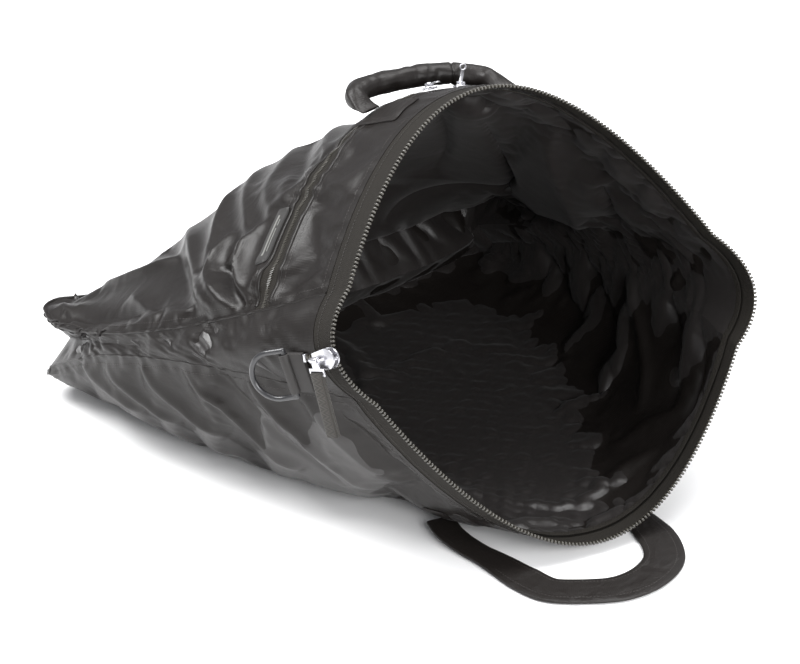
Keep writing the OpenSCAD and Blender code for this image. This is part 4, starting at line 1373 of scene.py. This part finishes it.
    # -- metal and webbing that keep their solid --
    def _hardware(self) -> None:
        """Finishes the metal pieces and the ring loops on their own solids."""
        for node, (finish, rounding) in HARDWARE.items():
            piece = bpy.data.objects[node]
            WARDROBE.dress(piece, finish)
            weld = piece.modifiers.new("weld", "WELD")
            weld.merge_threshold = 0.00001
            if rounding:
                rounded = piece.modifiers.new("bevel", "BEVEL")
                rounded.width, rounded.segments = rounding, 2
                rounded.limit_method, rounded.angle_limit = "ANGLE", math.radians(35)
            piece.data.polygons.foreach_set("use_smooth", np.ones(len(piece.data.polygons), bool))


# ---- the studio ----
@dataclass(frozen=True)
class Studio:
    """Pale floor, soft lights and the camera."""

    target: tuple[float, float, float] = (-0.0144, -0.0257, 0.1281)
    eye: tuple[float, float, float] = (2.0298, -1.3030, 1.4098)
    lens: float = 136.8

    def build(self) -> None:
        """Makes the camera, the floor and the lights."""
        scene = bpy.context.scene
        camera = bpy.data.objects.new("camera", bpy.data.cameras.new("camera"))
        camera.data.lens = self.lens
        camera.location = self.eye
        look = Vector(self.target) - Vector(self.eye)
        camera.rotation_euler = look.to_track_quat("-Z", "Y").to_euler()
        scene.collection.objects.link(camera)
        scene.camera = camera
        scene.view_settings.view_transform = "Standard"
        world = bpy.data.worlds.new("studio")
        scene.world = world
        world.use_nodes = True
        world.node_tree.nodes["Background"].inputs[0].default_value = (0.95, 0.96, 1.0, 1)
        world.node_tree.nodes["Background"].inputs[1].default_value = 0.50
        floor = slab("floor", self._square(4.0, -0.0002), self._square(4.0, -0.01))
        floor.data.materials.append(self._paper())
        self._softbox("key", (-0.9, -1.3, 2.2), 1.3, 92)
        self._softbox("top", (-0.2, 0.9, 2.4), 1.5, 56)
        self._softbox("front", (2.4, -0.6, 1.3), 1.0, 40)
        self._softbox("mouth", (1.3, 0.25, 0.75), 0.5, 9)

    @staticmethod
    def _square(size: float, height: float) -> np.ndarray:
        """A square grid of four points at a height."""
        x = np.array([-size, size])
        return np.stack([*np.meshgrid(x, x), np.full((2, 2), height)], -1)

    @staticmethod
    def _paper() -> bpy.types.Material:
        """Plain pale paper."""
        made = bpy.data.materials.new("pale_floor")
        made.use_nodes = True
        shader = made.node_tree.nodes["Principled BSDF"]
        shader.inputs["Base Color"].default_value = (0.93, 0.93, 0.93, 1)
        shader.inputs["Roughness"].default_value = 0.9
        return made

    def _softbox(self, name: str, spot: tuple[float, float, float], size: float, power: float) -> None:
        """A square area light that faces the bag."""
        light = bpy.data.lights.new(name, "AREA")
        light.size, light.energy = size, power
        lamp = bpy.data.objects.new(name, light)
        lamp.location = spot
        aim = Vector(self.target) - Vector(spot)
        lamp.rotation_euler = aim.to_track_quat("-Z", "Y").to_euler()
        bpy.context.scene.collection.objects.link(lamp)


def main() -> None:
    """Builds the whole bag around the frame."""
    logging.basicConfig(level=logging.INFO, format="%(message)s")
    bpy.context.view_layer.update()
    Studio().build()
    surfaces = Surfaces()
    for node, reach in (("main_slider", 0.02), ("right_ring_loop", 0.012), ("left_ring_loop", 0.012),
                        ("tail_teeth", 0.012), ("left_end_stop", 0.012), ("label", 0.0),
                        ("pocket_slider_right", 0.012), ("pocket_slider_left", 0.012)):
        surfaces.anchor(node, reach)
    surfaces.crease()
    body = SewnBody(surfaces)
    body.build()
    Trim(body).build()


if __name__ == "__main__":
    main()
